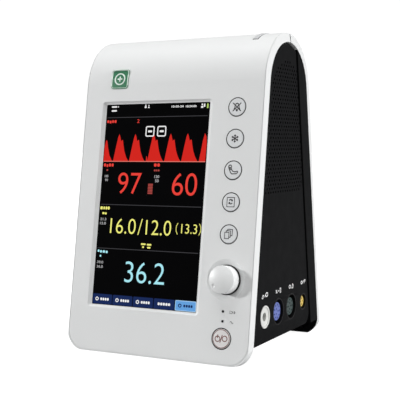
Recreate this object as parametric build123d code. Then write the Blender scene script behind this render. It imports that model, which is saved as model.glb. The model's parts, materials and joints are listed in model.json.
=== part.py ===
from build123d import *
import os
from math import cos, radians, sin, tan

# Portable bedside patient monitor, millimetres, +Z up. The origin is on the floor, in the middle
# of the case's footprint. +X is the monitor's right-hand side seen from the front, +Y its back.

# ---------------------------------------------------------------- driving dimensions
CASE_DEPTH = 145.9            # front lip to rear lip, on the floor
FACE_WIDTH = 153.2            # flat front face
FRONT_LEAN = 9.11             # degrees, the front face leans back
REAR_LEAN = 7.77              # degrees, the rear face leans forward
CROWN_R = 43.2                # radius of the rounded top, in side view
RIM_DEPTH = 6.9               # white rim round each side opening
RIM_FLARE = 0.8               # how far the rim flares out past the face
WALL = 2.6                    # moulded wall
FRONT_CORNER_R = 16.0         # lower corners of the front shell
REAR_CORNER_R = 15.0          # lower corners of the rear shell
SEAM = 1.6                    # gap between the two shells over the crown
SEAM_SET_BACK = 2.8           # the seam lies this far behind the crown's highest line
PAD_PROUD = 0.4               # rubber pads stand this far below the shells
BASE_Z = 12.2                 # underside of the black base
BAND_DEPTH = 22.5             # rear edge of the side panels, measured in from the rear face

SCREEN_X, SCREEN_V = -12.8, 113.4          # middle of the display, across and up the face
SCREEN_W, SCREEN_H = 90.6, 155.0           # visible opening
BEVEL_SIDE, BEVEL_END, BEVEL_DEPTH = 2.8, 2.0, 1.6     # sloping walls beside, over and under the opening
LEDGE_W, OPENING_DEPTH = 0.7, 4.2          # flat ledge inside the slope, and the depth of the whole frame

KEY_X = 55.5                               # column of round keys
KEY_V = {"mute_key": 186.1, "freeze_key": 163.0, "cuff_key": 139.9, "print_key": 116.8, "menu_key": 93.7}
KEY_D, KEY_GAP, KEY_TRAVEL = 12.9, 0.55, 0.8
POWER_X, POWER_V, POWER_D, POWER_TRAVEL = 55.0, 19.4, 14.1, 1.0
KEY_PROUD = 0.4

KNOB_V = 61.2
KNOB_D, KNOB_TOP_D, KNOB_HEIGHT = 20.2, 19.8, 9.3
KNOB_DOME = 1.5                            # how far the knob's front bulges
KNOB_WELL_D, WELL_DEPTH = 21.8, 4.2        # round well that the knob sinks into
DISH_D, DISH_DEPTH = 30.0, 3.6             # hollow round the well, as deep as its sphere would reach
SPLIT_N, SKIRT_LOW_N = 0.75, -2.4          # where the knob's cap meets its skirt, and the skirt's end
SHAFT_D, SKIRT_BORE_D = 6.0, 17.0
PRESS_TRAVEL = 0.6

LED_PLACES = ((54.9, 38.7), (55.0, 31.7))
LED_D = 2.0

BADGE_X, BADGE_V, BADGE_SIZE = -46.8, 210.4, 15.2

SIDE_X = FACE_WIDTH / 2                    # outer face of the side panels
PORT_Z = 31.8
NIBP_Y, SPO2_Y, ECG_Y, TEMP_Y = 31.0, 56.2, 81.5, 106.5      # from the front lip
NIBP_D, NIBP_BORE_D, NIBP_BORE_DEPTH = 16.5, 6.4, 12.0
BIG_CUP_D, BIG_INSERT_D = 20.3, 13.8
SMALL_CUP_D, SMALL_INSERT_D = 13.4, 8.7
INSERT_SUNK, CUP_DEPTH, CUP_WALL = 1.3, 10.0, 0.9
# rings of contact holes in the inserts, as (holes, radius of the ring)
SPO2_RINGS, ECG_RINGS, TEMP_RINGS = ((9, 5.0), (3, 2.2)), ((8, 5.0), (4, 2.3)), ((4, 2.4),)
CONTACT_D, CONTACT_DEPTH = 1.5, 4.0

LIGHT_BAR_X, LIGHT_BAR_W = 59.2, 3.3
STAND_SPACING, STAND_HOLE_D = 50.0, 4.0    # threaded inserts in the base, for a stand or clamp

# depths below the face (n is negative inside the case) of what is stacked behind it
GLASS_N, WINDOW_N, LCD_N, BRACKET_N = -1.9, -5.0, -6.6, -12.2
KEY_BOARD_N, SWITCH_TOP_N, KEY_REST_GAP = -12.2, -8.2, 0.4
BUSHING_N, BUSHING_D, SHAFT_LOW_N = -6.2, 9.0, -8.6
MAIN_BOARD_N, CHASSIS_FRONT_N = -20.0, -30.0
SHEET, BOARD = 1.2, 1.6                    # steel sheet and circuit board thickness
FLOOR_THICK = 2.0                          # floor of the knob's well
BADGE_SUNK, BADGE_PROUD = 1.0, 0.35
LIGHT_BAR_LENGTH, LIGHT_BAR_PROUD = 22.8, 0.5

# depths below the rear face
CHASSIS_REAR_N, BAY_N, DOOR_LEDGE_N = -35.2, -31.0, 1.8
INLET_FLOOR_N = -15.4
CHASSIS_Z = 15.4                           # top of the base to the chassis floor's underside

# places on the rear face, in its own directions (x runs towards -X)
INLET_U, INLET_V, INLET_W, INLET_H = -38.0, 46.0, 30.0, 22.0
STUD_U, STUD_V, STUD_D, STUD_TOP_N, STUD_WELL_D = -8.0, 46.0, 6.0, 4.5, 15.0
DOOR_V, DOOR_W, DOOR_H = 132.0, 112.0, 66.0
REAR_SCREWS = [(side * 62.0, v) for side in (1, -1) for v in (30.0, 182.0)]
DOOR_SCREWS = [side * 54.0 for side in (1, -1)]

# posts and spacers behind the front face
DISPLAY_POSTS = [(SCREEN_X + side * 52.5, v) for side in (1, -1) for v in (52.0, 176.0)]
BOARD_POSTS = [(KEY_X + 9.5, 174.5), (KEY_X + 9.5, 105.0), (KEY_X - 8.0, 44.0)]
BOARD_STANDOFFS = [(SCREEN_X + side * 44.0, v) for side in (1, -1) for v in (46.0, 180.0)]

# sides and base
PANEL_INSET = RIM_DEPTH + 1.0              # edge of the side panels, measured in from the outer surface
COLLAR_INSET = RIM_DEPTH + 0.15            # edge of the rear frame, which fits closely inside the rim
FLANGE_X = 72.0                            # inner face of the side panels' flange
SIDE_FLANGE_N = FLANGE_X - FACE_WIDTH / 2  # the same, measured from the panel's outer face
TUBE_X = 40.0                              # where the air tube runs back to the pump
FOOT_HALF, FOOT_TOP = 60.3, 4.0            # black foot let into the rear shell's lower edge
PAD_LENGTH, PAD_WIDTH, PAD_SUNK = 18.0, 3.0, 1.2
INSERT_LENGTH = 7.0

# shared details
POST_D, POST_BORE_D = 6.0, 2.4             # display posts
BOARD_POST_D, BOARD_POST_BORE_D = 5.0, 2.0
RIM_LINE_IN, RIM_LINE_W, RIM_LINE_DEPTH = 1.1, 0.4, 0.55     # fine groove just inside the rim
COLLAR_THICK = 1.6                         # rear frame's front edge
KEY_EDGE_R, KEY_FLANGE_W, KEY_FLANGE_THICK, KEY_STEM_D = 0.55, 1.2, 1.2, 4.0
REAR_HEAD_D, REAR_SEAT_D, REAR_SEAT_DEPTH, REAR_SHANK_D = 6.2, 6.8, 1.6, 3.2
DOOR_HEAD_D, DOOR_SEAT_DEPTH, DOOR_SHANK_D = 3.5, 1.0, 2.0
LOUVRE_ROWS, LOUVRE_PITCH, LOUVRE_W, LOUVRE_H = 7, 7.0, 30.0, 2.4
LOUVRE_U, LOUVRE_V = 42.0, 28.0            # middle of the lowest louvre
POWER_BOARD_N = -26.0

# ---------------------------------------------------------------- worked out from them
Y_FRONT, Y_REAR = -CASE_DEPTH / 2, CASE_DEPTH / 2
COS_F, SIN_F, TAN_F = (f(radians(FRONT_LEAN)) for f in (cos, sin, tan))
COS_R, SIN_R, TAN_R = (f(radians(REAR_LEAN)) for f in (cos, sin, tan))
# the crown's centre is CROWN_R inside both leaning faces
CROWN_Z = (CASE_DEPTH * COS_R - CROWN_R * COS_R / COS_F - CROWN_R) / (TAN_F * COS_R + SIN_R)
CROWN_Y = Y_FRONT + (CROWN_R + CROWN_Z * SIN_F) / COS_F
CASE_HEIGHT = CROWN_Z + CROWN_R
SEAM_Y = CROWN_Y + SEAM_SET_BACK
FACE_HALF = FACE_WIDTH / 2
RIM_HALF = FACE_HALF + RIM_FLARE
INNER_HALF = FACE_HALF - WALL
STAND_Y = Y_FRONT + 70.0
HALF_STAND = STAND_SPACING / 2
STAND_PLACES = [(sx * HALF_STAND, STAND_Y + sy * HALF_STAND) for sx in (1, -1) for sy in (1, -1)]
BASE_SCREWS = [(x, STAND_Y + sy * 28.0) for x in (-56.0, 44.0) for sy in (1, -1)]
FRONT_PADS = [(side * 42.0, Y_FRONT + 3.6) for side in (1, -1)]
REAR_PADS = [(side * 42.0, Y_REAR - 5.2) for side in (1, -1)]

# planes on the two leaning faces: x across, y up the face, z out of it
FACE = Plane(origin=(0, Y_FRONT, 0), x_dir=(1, 0, 0), z_dir=(0, -COS_F, SIN_F))
REAR = Plane(origin=(0, Y_REAR, 0), x_dir=(-1, 0, 0), z_dir=(0, COS_R, SIN_R))
OUTWARD = Plane(origin=(SIDE_X, 0, 0), x_dir=(0, 1, 0), z_dir=(1, 0, 0))     # right side panel


# ---------------------------------------------------------------- shapes used by many pieces
def side_face(inset, bottom=0.0):
    """Side view of the case, inset from its outer surface and standing on the height bottom."""
    r = CROWN_R - inset
    front_low = (Y_FRONT + inset / COS_F + bottom * TAN_F, bottom)
    front_top = (CROWN_Y - r * COS_F, CROWN_Z + r * SIN_F)
    rear_top = (CROWN_Y + r * COS_R, CROWN_Z + r * SIN_R)
    rear_low = (Y_REAR - inset / COS_R - bottom * TAN_R, bottom)
    outline = [
        Line(front_low, front_top),
        ThreePointArc(front_top, (CROWN_Y, CROWN_Z + r), rear_top),
        Line(rear_top, rear_low),
        Line(rear_low, front_low),
    ]
    return make_face(outline)


def slab(inset, half, bottom=0.0):
    """The side view pushed out to half each way across the case."""
    return extrude(Plane.YZ * side_face(inset, bottom), amount=half, both=True)


def plate_between(inset, x_low, x_high, bottom=0.0):
    """The side view as a plate from x_low to x_high."""
    return extrude(Plane.YZ.offset(x_low) * side_face(inset, bottom), amount=x_high - x_low)


def box_on(plane, u, v, n_low, n_high, width, height, corner=0.0):
    """A block on a leaning face, centred at u, v and reaching from n_low to n_high."""
    shape = RectangleRounded(width, height, corner) if corner else Rectangle(width, height)
    return extrude(plane.offset(n_low) * Pos(u, v) * shape, amount=n_high - n_low)


def disc_on(plane, u, v, n_low, n_high, diameter):
    """A round bar standing on a plane, from n_low to n_high."""
    return extrude(plane.offset(n_low) * Pos(u, v) * Circle(diameter / 2), amount=n_high - n_low)


def tube_on(plane, u, v, n_low, n_high, outer, inner):
    """A round tube standing on a plane."""
    return disc_on(plane, u, v, n_low, n_high, outer) - disc_on(plane, u, v, n_low, n_high, inner)


def tray_outline(plane, margin, radius):
    """A tall prism along a face's normal, with its two lower corners rounded."""
    half = RIM_HALF - margin
    blank = Pos(0, margin) * Rectangle(2 * half, CASE_HEIGHT * 2, align=(Align.CENTER, Align.MIN))
    blank = fillet(blank.vertices().group_by(Axis.Y)[0], radius)
    return extrude(plane.offset(5) * blank, amount=-205)


def block(x_low, x_high, y_low, y_high, z_low, z_high):
    """An upright box between the given limits."""
    size = (x_high - x_low, y_high - y_low, z_high - z_low)
    return Pos(x_low, y_low, z_low) * Box(*size, align=(Align.MIN, Align.MIN, Align.MIN))


def front_half(gap=0.0):
    """Everything ahead of the crown's seam."""
    return block(-100, 100, -150, SEAM_Y - gap, -10, 300)


def rear_half(gap=0.0):
    """Everything behind the crown's seam."""
    return block(-100, 100, SEAM_Y + gap, 150, -10, 300)


def from_front(distance):
    """Y of a place measured from the front lip."""
    return Y_FRONT + distance


def upright(x, y, z_low, z_high, diameter):
    """A round bar along Z."""
    bar = Cylinder(diameter / 2, z_high - z_low, align=(Align.CENTER, Align.CENTER, Align.MIN))
    return Pos(x, y, z_low) * bar


# ---------------------------------------------------------------- front and rear shells
def case_block():
    """The closed outer form: a straight middle and a rim that flares out round each side."""
    form = slab(0, FACE_HALF, PAD_PROUD)
    for side in (1, -1):
        edge = Plane.YZ.offset(side * FACE_HALF) * side_face(0, PAD_PROUD)
        lip = Plane.YZ.offset(side * RIM_HALF) * side_face(RIM_DEPTH, PAD_PROUD)
        form += loft([edge, lip], ruled=True)
    return form


def tray(form, plane, half_space, radius):
    """One white shell: the form's skin on one face, with a return all round."""
    skin = (form & tray_outline(plane, 0, radius) & half_space) - slab(RIM_DEPTH, 100, -20)
    hollow = slab(WALL, INNER_HALF + 0.4, -20) & tray_outline(plane, WALL + 0.8, radius - WALL)
    return skin - hollow


def rim_line(plane, radius):
    """Fine groove in the face, just inside the rim and round the lower corners."""
    inner = RIM_LINE_IN + RIM_LINE_W
    ring = tray_outline(plane, RIM_LINE_IN, radius - RIM_LINE_IN) - tray_outline(plane, inner, radius - inner)
    return ring & (slab(-1.0, 100, -20) - slab(RIM_LINE_DEPTH, 100, -20))


def pad_blank(x, y, z_low, grow):
    """The block that a rubber pad, or its pocket, takes up."""
    half_w, half_d = PAD_LENGTH / 2 + grow, PAD_WIDTH / 2 + grow
    return block(x - half_w, x + half_w, y - half_d, y + half_d, z_low, PAD_PROUD + PAD_SUNK)


def key_hole(u, v, diameter):
    """Hole in the front shell for a key, with its clearance."""
    return disc_on(FACE, u, v, -10, 5, diameter + 2 * KEY_GAP)


def badge_layer(outer, inner, size):
    """The skin between two insets, under the badge's square."""
    square = extrude(FACE.offset(-20) * Pos(BADGE_X, BADGE_V) * RectangleRounded(size, size, 2.2), amount=30)
    return (slab(outer, FACE_HALF) - slab(inner, FACE_HALF + 1)) & square


def light_bar_blank(grow):
    """Straight-sided block over the crown where the alarm light bar sits, just ahead of the seam."""
    half = LIGHT_BAR_W / 2 + grow
    y_high = SEAM_Y - SEAM / 2 - 0.8
    y_low = y_high - LIGHT_BAR_LENGTH
    x_low, x_high = LIGHT_BAR_X - half, LIGHT_BAR_X + half
    return block(x_low, x_high, y_low - grow, y_high + grow, CROWN_Z, CASE_HEIGHT + 5)


form = case_block()


def front_shell():
    """White front moulding: display opening, key holes, knob dish, lamp slot and badge pocket."""
    shell = tray(form, FACE, front_half(SEAM / 2), FRONT_CORNER_R)
    shell -= rim_line(FACE, FRONT_CORNER_R)
    shell += box_on(FACE, SCREEN_X, SCREEN_V, -OPENING_DEPTH, -WALL + 0.2, SCREEN_W + 16, SCREEN_H + 16, 4)
    wide, tall = SCREEN_W + 2 * BEVEL_SIDE, SCREEN_H + 2 * BEVEL_END
    at = Pos(SCREEN_X, SCREEN_V)
    ledge = RectangleRounded(SCREEN_W + 2 * LEDGE_W, SCREEN_H + 2 * LEDGE_W, 1.4)
    shell -= loft([FACE.offset(-BEVEL_DEPTH) * at * ledge, FACE * at * RectangleRounded(wide, tall, 2.8)])
    shell -= box_on(FACE, SCREEN_X, SCREEN_V, -0.02, 3, wide, tall, 2.8)
    shell -= box_on(FACE, SCREEN_X, SCREEN_V, -OPENING_DEPTH - 1, 0, SCREEN_W, SCREEN_H, 0.9)
    # hollow, well and bushing hole for the knob
    dish_r = (DISH_D ** 2 / 4 + DISH_DEPTH ** 2) / (2 * DISH_DEPTH)
    shell += disc_on(FACE, KEY_X, KNOB_V, -WELL_DEPTH, -WALL + 0.2, DISH_D + 3)
    shell += disc_on(FACE, KEY_X, KNOB_V, -WELL_DEPTH - FLOOR_THICK, -WALL, KNOB_WELL_D + 4)
    shell -= FACE * Pos(KEY_X, KNOB_V, dish_r - DISH_DEPTH) * Sphere(dish_r)
    shell -= disc_on(FACE, KEY_X, KNOB_V, -WELL_DEPTH, 5, KNOB_WELL_D)
    shell -= disc_on(FACE, KEY_X, KNOB_V, -12, 5, BUSHING_D + 0.8)
    for v in KEY_V.values():
        shell -= key_hole(KEY_X, v, KEY_D)
    shell -= key_hole(POWER_X, POWER_V, POWER_D)
    for u, v in LED_PLACES:
        shell -= disc_on(FACE, u, v, -10, 5, LED_D)
    for u, v in DISPLAY_POSTS:
        shell += tube_on(FACE, u, v, BRACKET_N, -WALL + 0.2, POST_D, POST_BORE_D)
    for u, v in BOARD_POSTS:
        shell += tube_on(FACE, u, v, KEY_BOARD_N, -WALL + 0.2, BOARD_POST_D, BOARD_POST_BORE_D)
    shell -= badge_layer(-1, BADGE_SUNK, BADGE_SIZE + 0.3)
    shell -= light_bar_blank(0.7)
    for x, y in FRONT_PADS:
        shell -= pad_blank(x, y, -1, 0.1)
    return shell


def rear_shell():
    """White rear moulding: battery door opening, mains inlet, ground stud and louvres."""
    shell = tray(form, REAR, rear_half(SEAM / 2), REAR_CORNER_R)
    shell -= rim_line(REAR, REAR_CORNER_R)
    shell -= slab(WALL + 0.1, 100, -20) & block(-FOOT_HALF, FOOT_HALF, 0, 150, -10, FOOT_TOP)
    shell -= box_on(REAR, 0, DOOR_V, -DOOR_LEDGE_N, 5, DOOR_W, DOOR_H, 5)
    shell -= box_on(REAR, 0, DOOR_V, -10, 5, DOOR_W - 8, DOOR_H - 8, 3)
    shell -= box_on(REAR, INLET_U, INLET_V, -10, 5, INLET_W - 3, INLET_H - 3, 2)
    shell -= disc_on(REAR, STUD_U, STUD_V, -10, 5, STUD_WELL_D)
    for row in range(LOUVRE_ROWS):
        shell -= box_on(REAR, LOUVRE_U, LOUVRE_V + LOUVRE_PITCH * row, -10, 5, LOUVRE_W, LOUVRE_H, 1.1)
    for u, v in REAR_SCREWS:
        shell -= disc_on(REAR, u, v, -10, 5, REAR_SHANK_D + 0.4)
        shell -= disc_on(REAR, u, v, -REAR_SEAT_DEPTH, 5, REAR_SEAT_D)
    for u in DOOR_SCREWS:
        shell -= disc_on(REAR, u, DOOR_V, -10, 5, 2.2)
    return shell


# ---------------------------------------------------------------- black sides, base and rear frame
def ahead_of_band(gap):
    """Everything deeper than the rear band, measured in from the rear face."""
    return extrude(REAR.offset(-BAND_DEPTH - gap) * Rectangle(400, 800), amount=-300)


def behind_band(gap):
    """The rear band's own depth, up to the rear face."""
    return extrude(REAR.offset(-BAND_DEPTH + gap) * Rectangle(400, 800), amount=BAND_DEPTH + 5)


def side_panel():
    """Right side panel with its softened edge, before its port holes are cut."""
    plate = plate_between(PANEL_INSET, FLANGE_X, SIDE_X, BASE_Z) & ahead_of_band(0)
    corners = plate.edges().filter_by(Axis.X).group_by(Axis.Z)[0].sort_by(Axis.Y)
    plate = fillet(corners[-1], 9.0)
    plate = fillet(plate.faces().sort_by(Axis.X)[-1].edges(), 1.9)
    flange = plate_between(WALL + 0.8, FLANGE_X, FLANGE_X + 2.0, BASE_Z + 5.2) & ahead_of_band(0)
    return plate + flange


def port_hole(y, diameter):
    """A round hole through the right side panel."""
    return disc_on(OUTWARD, from_front(y), PORT_Z, -10, 5, diameter)


def right_side_panel():
    """Side panel with the four patient ports in a row near its lower edge."""
    panel = side_panel()
    panel -= port_hole(NIBP_Y, NIBP_D + 0.5)
    panel -= port_hole(SPO2_Y, BIG_CUP_D + 0.2)
    panel -= port_hole(ECG_Y, BIG_CUP_D + 0.2)
    panel -= port_hole(TEMP_Y, SMALL_CUP_D + 0.2)
    return panel


def rear_frame():
    """Black frame inside the rear shell: a band up each side, a floor web and the rear foot."""
    frame = slab(WALL + 0.6, 60.0) & block(-60, 60, 0, 150, PAD_PROUD, BASE_Z + 3)
    frame -= slab(RIM_DEPTH, 100, -20)
    frame &= block(-FOOT_HALF + 0.3, FOOT_HALF - 0.3, 0, 150, 0, 300)
    foot_corners = tray_outline(REAR, WALL + 1.4, REAR_CORNER_R - WALL - 0.6)
    liner = (slab(WALL + 0.9, INNER_HALF - 0.4) - slab(RIM_DEPTH, 100, -20)) & foot_corners
    liner &= block(-100, 100, 0, 150, FOOT_TOP + 0.3, BASE_Z + WALL)
    frame += liner
    web = slab(WALL + 0.9, FLANGE_X + 1.0, BASE_Z) & behind_band(0.5) & foot_corners
    frame += web & block(-100, 100, 0, 150, BASE_Z, BASE_Z + WALL)
    # the frame's front edge laps over the rear shell's return, round the foot
    collar = slab(COLLAR_INSET, RIM_HALF - 0.1, PAD_PROUD) - slab(COLLAR_INSET + COLLAR_THICK, 100, -20)
    collar &= behind_band(0) & tray_outline(REAR, 0.1, REAR_CORNER_R - 0.1)
    collar -= tray_outline(REAR, WALL + 2.4, REAR_CORNER_R - WALL - 1.6)
    frame += collar & block(-100, 100, 0, 150, 0, BASE_Z + WALL)
    for side in (1, -1):
        x_low, x_high = sorted((side * FLANGE_X, side * (RIM_HALF - 0.15)))
        frame += plate_between(COLLAR_INSET, x_low, x_high, BASE_Z) & behind_band(0.5)
    for x, y in REAR_PADS:
        frame -= pad_blank(x, y, -1, 0.1)
    return frame


def base_plate():
    """Black floor between the side panels, turned down inside the front shell's foot."""
    plate = slab(WALL + 1.1, FLANGE_X - 0.4, BASE_Z) & ahead_of_band(0.5)
    plate &= block(-100, 100, -150, 150, BASE_Z, BASE_Z + WALL)
    lip = slab(WALL + 1.1, FLANGE_X - 0.4) - slab(RIM_DEPTH - 0.1, 100, -20)
    lip &= tray_outline(FACE, WALL + 1.4, FRONT_CORNER_R - WALL - 0.6)
    plate += lip & block(-100, 100, -150, 0, 0, BASE_Z + WALL)
    # room for the power key's flange in the foot, and for its switch over the floor
    plate -= block(POWER_X - 11, POWER_X + 11, -150, 0, 0, 300) - slab(5.6, 100, -20)
    plate -= block(POWER_X - 5, POWER_X + 5, -150, 0, BASE_Z + WALL - 0.7, 300)
    for x, y in STAND_PLACES:
        plate += upright(x, y, BASE_Z, BASE_Z + INSERT_LENGTH, 8.4)
        plate -= upright(x, y, BASE_Z - 1, BASE_Z + INSERT_LENGTH, 6.0)
    for x, y in BASE_SCREWS:
        plate -= upright(x, y, BASE_Z - 1, BASE_Z + 5, 3.4)
        plate -= upright(x, y, BASE_Z - 1, BASE_Z + 1.5, 6.2)
    return plate


def crown_seal():
    """Dark rubber strip in the seam between the two shells."""
    strip = slab(0.7, FACE_HALF - 0.3) - slab(WALL - 0.1, 100, -20)
    half = SEAM / 2 - 0.02
    return strip & block(-100, 100, SEAM_Y - half, SEAM_Y + half, CROWN_Z, 300)


def foot_pads():
    """Four rubber pads under the shells' feet."""
    pads = [pad_blank(x, y, 0, 0) for x, y in FRONT_PADS + REAR_PADS]
    return Compound(children=pads)


# ---------------------------------------------------------------- display
def display_gasket():
    """Foam ring between the front shell and the display window."""
    outer = box_on(FACE, SCREEN_X, SCREEN_V, WINDOW_N, -OPENING_DEPTH, SCREEN_W + 8, SCREEN_H + 8, 1)
    return outer - box_on(FACE, SCREEN_X, SCREEN_V, -9, 0, SCREEN_W + 1.6, SCREEN_H + 1.6)


def display_window():
    """Hard window in front of the LCD: a flange behind the frame and a raised pane in the opening."""
    flange = box_on(FACE, SCREEN_X, SCREEN_V, LCD_N, WINDOW_N, SCREEN_W + 8, SCREEN_H + 8, 1)
    return flange + box_on(FACE, SCREEN_X, SCREEN_V, WINDOW_N, GLASS_N, SCREEN_W - 0.2, SCREEN_H - 0.2, 0.8)


def lcd_module():
    """Flat LCD module with its stepped metal back."""
    panel = box_on(FACE, SCREEN_X, SCREEN_V, LCD_N - 3.2, LCD_N, SCREEN_W + 6.5, SCREEN_H + 6, 0.8)
    return panel + box_on(FACE, SCREEN_X, SCREEN_V, BRACKET_N, LCD_N - 3.2, SCREEN_W, SCREEN_H - 8, 2)


def display_bracket():
    """Pressed steel plate that clamps the LCD to the front shell's posts."""
    plate = box_on(FACE, SCREEN_X, SCREEN_V, BRACKET_N - SHEET, BRACKET_N, 113.0, 150.0, 4)
    plate -= box_on(FACE, SCREEN_X, SCREEN_V, -40, 0, 62.0, 96.0, 6)
    for u, v in DISPLAY_POSTS + BOARD_STANDOFFS:
        plate -= disc_on(FACE, u, v, -40, 0, 2.8)
    return plate


def front_screws():
    """Screws that hold the display bracket and the key board to the front shell."""
    screws = []
    for u, v in DISPLAY_POSTS:
        seat = BRACKET_N - SHEET
        shank = disc_on(FACE, u, v, seat, seat + 8.0, 2.3)
        screws.append(shank + disc_on(FACE, u, v, seat - 1.8, seat, 4.6))
    for u, v in BOARD_POSTS:
        seat = KEY_BOARD_N - BOARD
        shank = disc_on(FACE, u, v, seat, seat + 7.0, 1.9)
        screws.append(shank + disc_on(FACE, u, v, seat - 1.5, seat, 3.8))
    return Compound(children=screws)


# ---------------------------------------------------------------- keys, knob and lamps
def push_key(u, v, diameter, travel):
    """One round key: crowned cap, retaining flange and the stem that meets its switch."""
    flange_top = -WALL - 0.4
    flange_low = flange_top - KEY_FLANGE_THICK
    stem_low = SWITCH_TOP_N + KEY_REST_GAP + travel
    key = disc_on(FACE, u, v, flange_low, KEY_PROUD, diameter)
    key = fillet(key.edges().filter_by(GeomType.CIRCLE).sort_by(Axis.Y)[0], KEY_EDGE_R)
    key += disc_on(FACE, u, v, flange_low, flange_top, diameter + 2 * KEY_FLANGE_W)
    return key + disc_on(FACE, u, v, stem_low, flange_low, KEY_STEM_D)


def key_board():
    """Circuit board behind the keys, with the two status lamps on it."""
    board = box_on(FACE, 57.0, 106.8, KEY_BOARD_N - BOARD, KEY_BOARD_N, 25.0, 178.0, 1.5)
    for u, v in BOARD_POSTS:
        board -= disc_on(FACE, u, v, -20, 0, 2.4)
    for u, v in LED_PLACES:
        board += box_on(FACE, u, v, KEY_BOARD_N, KEY_BOARD_N + 1.2, 1.8, 3.0)
    return board


def key_switches():
    """One tactile switch under each key."""
    switches = []
    for u, v in [(KEY_X, v) for v in KEY_V.values()] + [(POWER_X, POWER_V)]:
        body = box_on(FACE, u, v, KEY_BOARD_N, SWITCH_TOP_N - 0.6, 6.0, 6.0, 0.5)
        switches.append(body + disc_on(FACE, u, v, SWITCH_TOP_N - 0.6, SWITCH_TOP_N, 3.2))
    return Compound(children=switches)


def encoder_body():
    """Rotary encoder on the key board: square body and threaded bushing, bored for its shaft."""
    body = box_on(FACE, KEY_X, KNOB_V, KEY_BOARD_N, BUSHING_N, 12.0, 12.0, 0.8)
    body += disc_on(FACE, KEY_X, KNOB_V, BUSHING_N, 0.2, BUSHING_D)
    return body - disc_on(FACE, KEY_X, KNOB_V, KEY_BOARD_N + 0.3, 5, SHAFT_D + 0.1)


def encoder_nut():
    """Hexagon nut that clamps the encoder's bushing in the dish."""
    hexagon = FACE.offset(-WELL_DEPTH) * Pos(KEY_X, KNOB_V) * RegularPolygon(6.2, 6)
    return extrude(hexagon, amount=1.5) - disc_on(FACE, KEY_X, KNOB_V, -9, 5, BUSHING_D + 0.04)


def encoder_plunger():
    """Push rod under the shaft that works the encoder's push switch."""
    return disc_on(FACE, KEY_X, KNOB_V, KEY_BOARD_N + 0.3 + PRESS_TRAVEL + 0.3, SHAFT_LOW_N - 0.3, 4.0)


def encoder_shaft():
    """Steel shaft that turns with the knob."""
    return disc_on(FACE, KEY_X, KNOB_V, SHAFT_LOW_N, KNOB_HEIGHT - 1.8, SHAFT_D)


def control_knob():
    """Round knob cap with a gently domed front and a small finger dimple."""
    middle = FACE.from_local_coords((KEY_X, KNOB_V, 0))
    section = Plane(origin=middle, x_dir=(1, 0, 0), z_dir=Vector(1, 0, 0).cross(FACE.z_dir))
    base_r, top_r, edge = KNOB_D / 2, KNOB_TOP_D / 2, 0.6
    shoulder = KNOB_HEIGHT - KNOB_DOME
    bend = edge * (1 - cos(radians(45)))
    outline = [
        Line((0, SPLIT_N), (base_r, SPLIT_N)),
        Line((base_r, SPLIT_N), (top_r, shoulder - edge)),
        ThreePointArc((top_r, shoulder - edge), (top_r - bend, shoulder - bend), (top_r - edge, shoulder)),
        ThreePointArc((top_r - edge, shoulder), (top_r / 2, KNOB_HEIGHT - KNOB_DOME / 4), (0, KNOB_HEIGHT)),
        Line((0, KNOB_HEIGHT), (0, SPLIT_N)),
    ]
    cap = revolve(section * make_face(outline), axis=Axis(middle, FACE.z_dir))
    cap -= FACE * Pos(KEY_X - 5.6, KNOB_V - 4.9, shoulder + 1.9) * Sphere(2.0)
    cap -= disc_on(FACE, KEY_X, KNOB_V, SPLIT_N - 1, 2.2, SKIRT_BORE_D)
    return cap - disc_on(FACE, KEY_X, KNOB_V, 2, KNOB_HEIGHT - 1.7, SHAFT_D + 0.04)


def knob_skirt():
    """Thin sleeve under the knob's cap that runs down into the well."""
    return tube_on(FACE, KEY_X, KNOB_V, SKIRT_LOW_N, SPLIT_N, KNOB_D, SKIRT_BORE_D)


def led_light_pipes():
    """Two clear pipes that bring the status lamps to the face."""
    pipes = [disc_on(FACE, u, v, KEY_BOARD_N + 1.4, 0.15, LED_D - 0.1) for u, v in LED_PLACES]
    return Compound(children=pipes)


def alarm_light_bar():
    """Translucent bar that follows the crown."""
    return (slab(-LIGHT_BAR_PROUD, 70) - slab(4.0, 100, -20)) & light_bar_blank(0)


def alarm_bar_seal():
    """Black surround between the light bar and the shell."""
    ring = light_bar_blank(0.65) - light_bar_blank(0.03)
    return (slab(0.1, 70) - slab(4.0, 100, -20)) & ring


def alarm_board():
    """Small board with three lamps under the light bar."""
    y = CROWN_Y - 10.0
    z = CASE_HEIGHT - 14.0
    board = block(LIGHT_BAR_X - 7, LIGHT_BAR_X + 7, y - 10, y + 10, z, z + BOARD)
    for step in (-6, 0, 6):
        lamp = Box(3.0, 3.0, 1.4, align=(Align.CENTER, Align.CENTER, Align.MIN))
        board += Pos(LIGHT_BAR_X, y + step, z + BOARD) * lamp
    return board


# ---------------------------------------------------------------- boards, chassis and power
def main_board():
    """Main circuit board with its larger packages and connectors."""
    board = box_on(FACE, -14.0, 105.0, MAIN_BOARD_N - BOARD, MAIN_BOARD_N, 104.0, 162.0, 2)
    packages = [(-20, 120, 24, 24, 2.0), (14, 132, 14, 20, 1.6), (-44, 140, 12, 18, 1.6), (-40, 70, 34, 8, 5.0)]
    packages += [(-8, 168, 40, 7, 5.0), (8, 84, 16, 16, 2.4), (-50, 105, 9, 9, 3.0), (-12, 50, 22, 12, 4.0)]
    for u, v, width, height, thick in packages:
        board += box_on(FACE, u, v, MAIN_BOARD_N - BOARD - thick, MAIN_BOARD_N - BOARD, width, height)
    for u, v in BOARD_STANDOFFS:
        board -= disc_on(FACE, u, v, -40, 0, 3.2)
    return board


def standoffs(plane, places, n_low, n_high, outer, inner):
    """A set of round spacers between two sheets."""
    return Compound(children=[tube_on(plane, u, v, n_low, n_high, outer, inner) for u, v in places])


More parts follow.
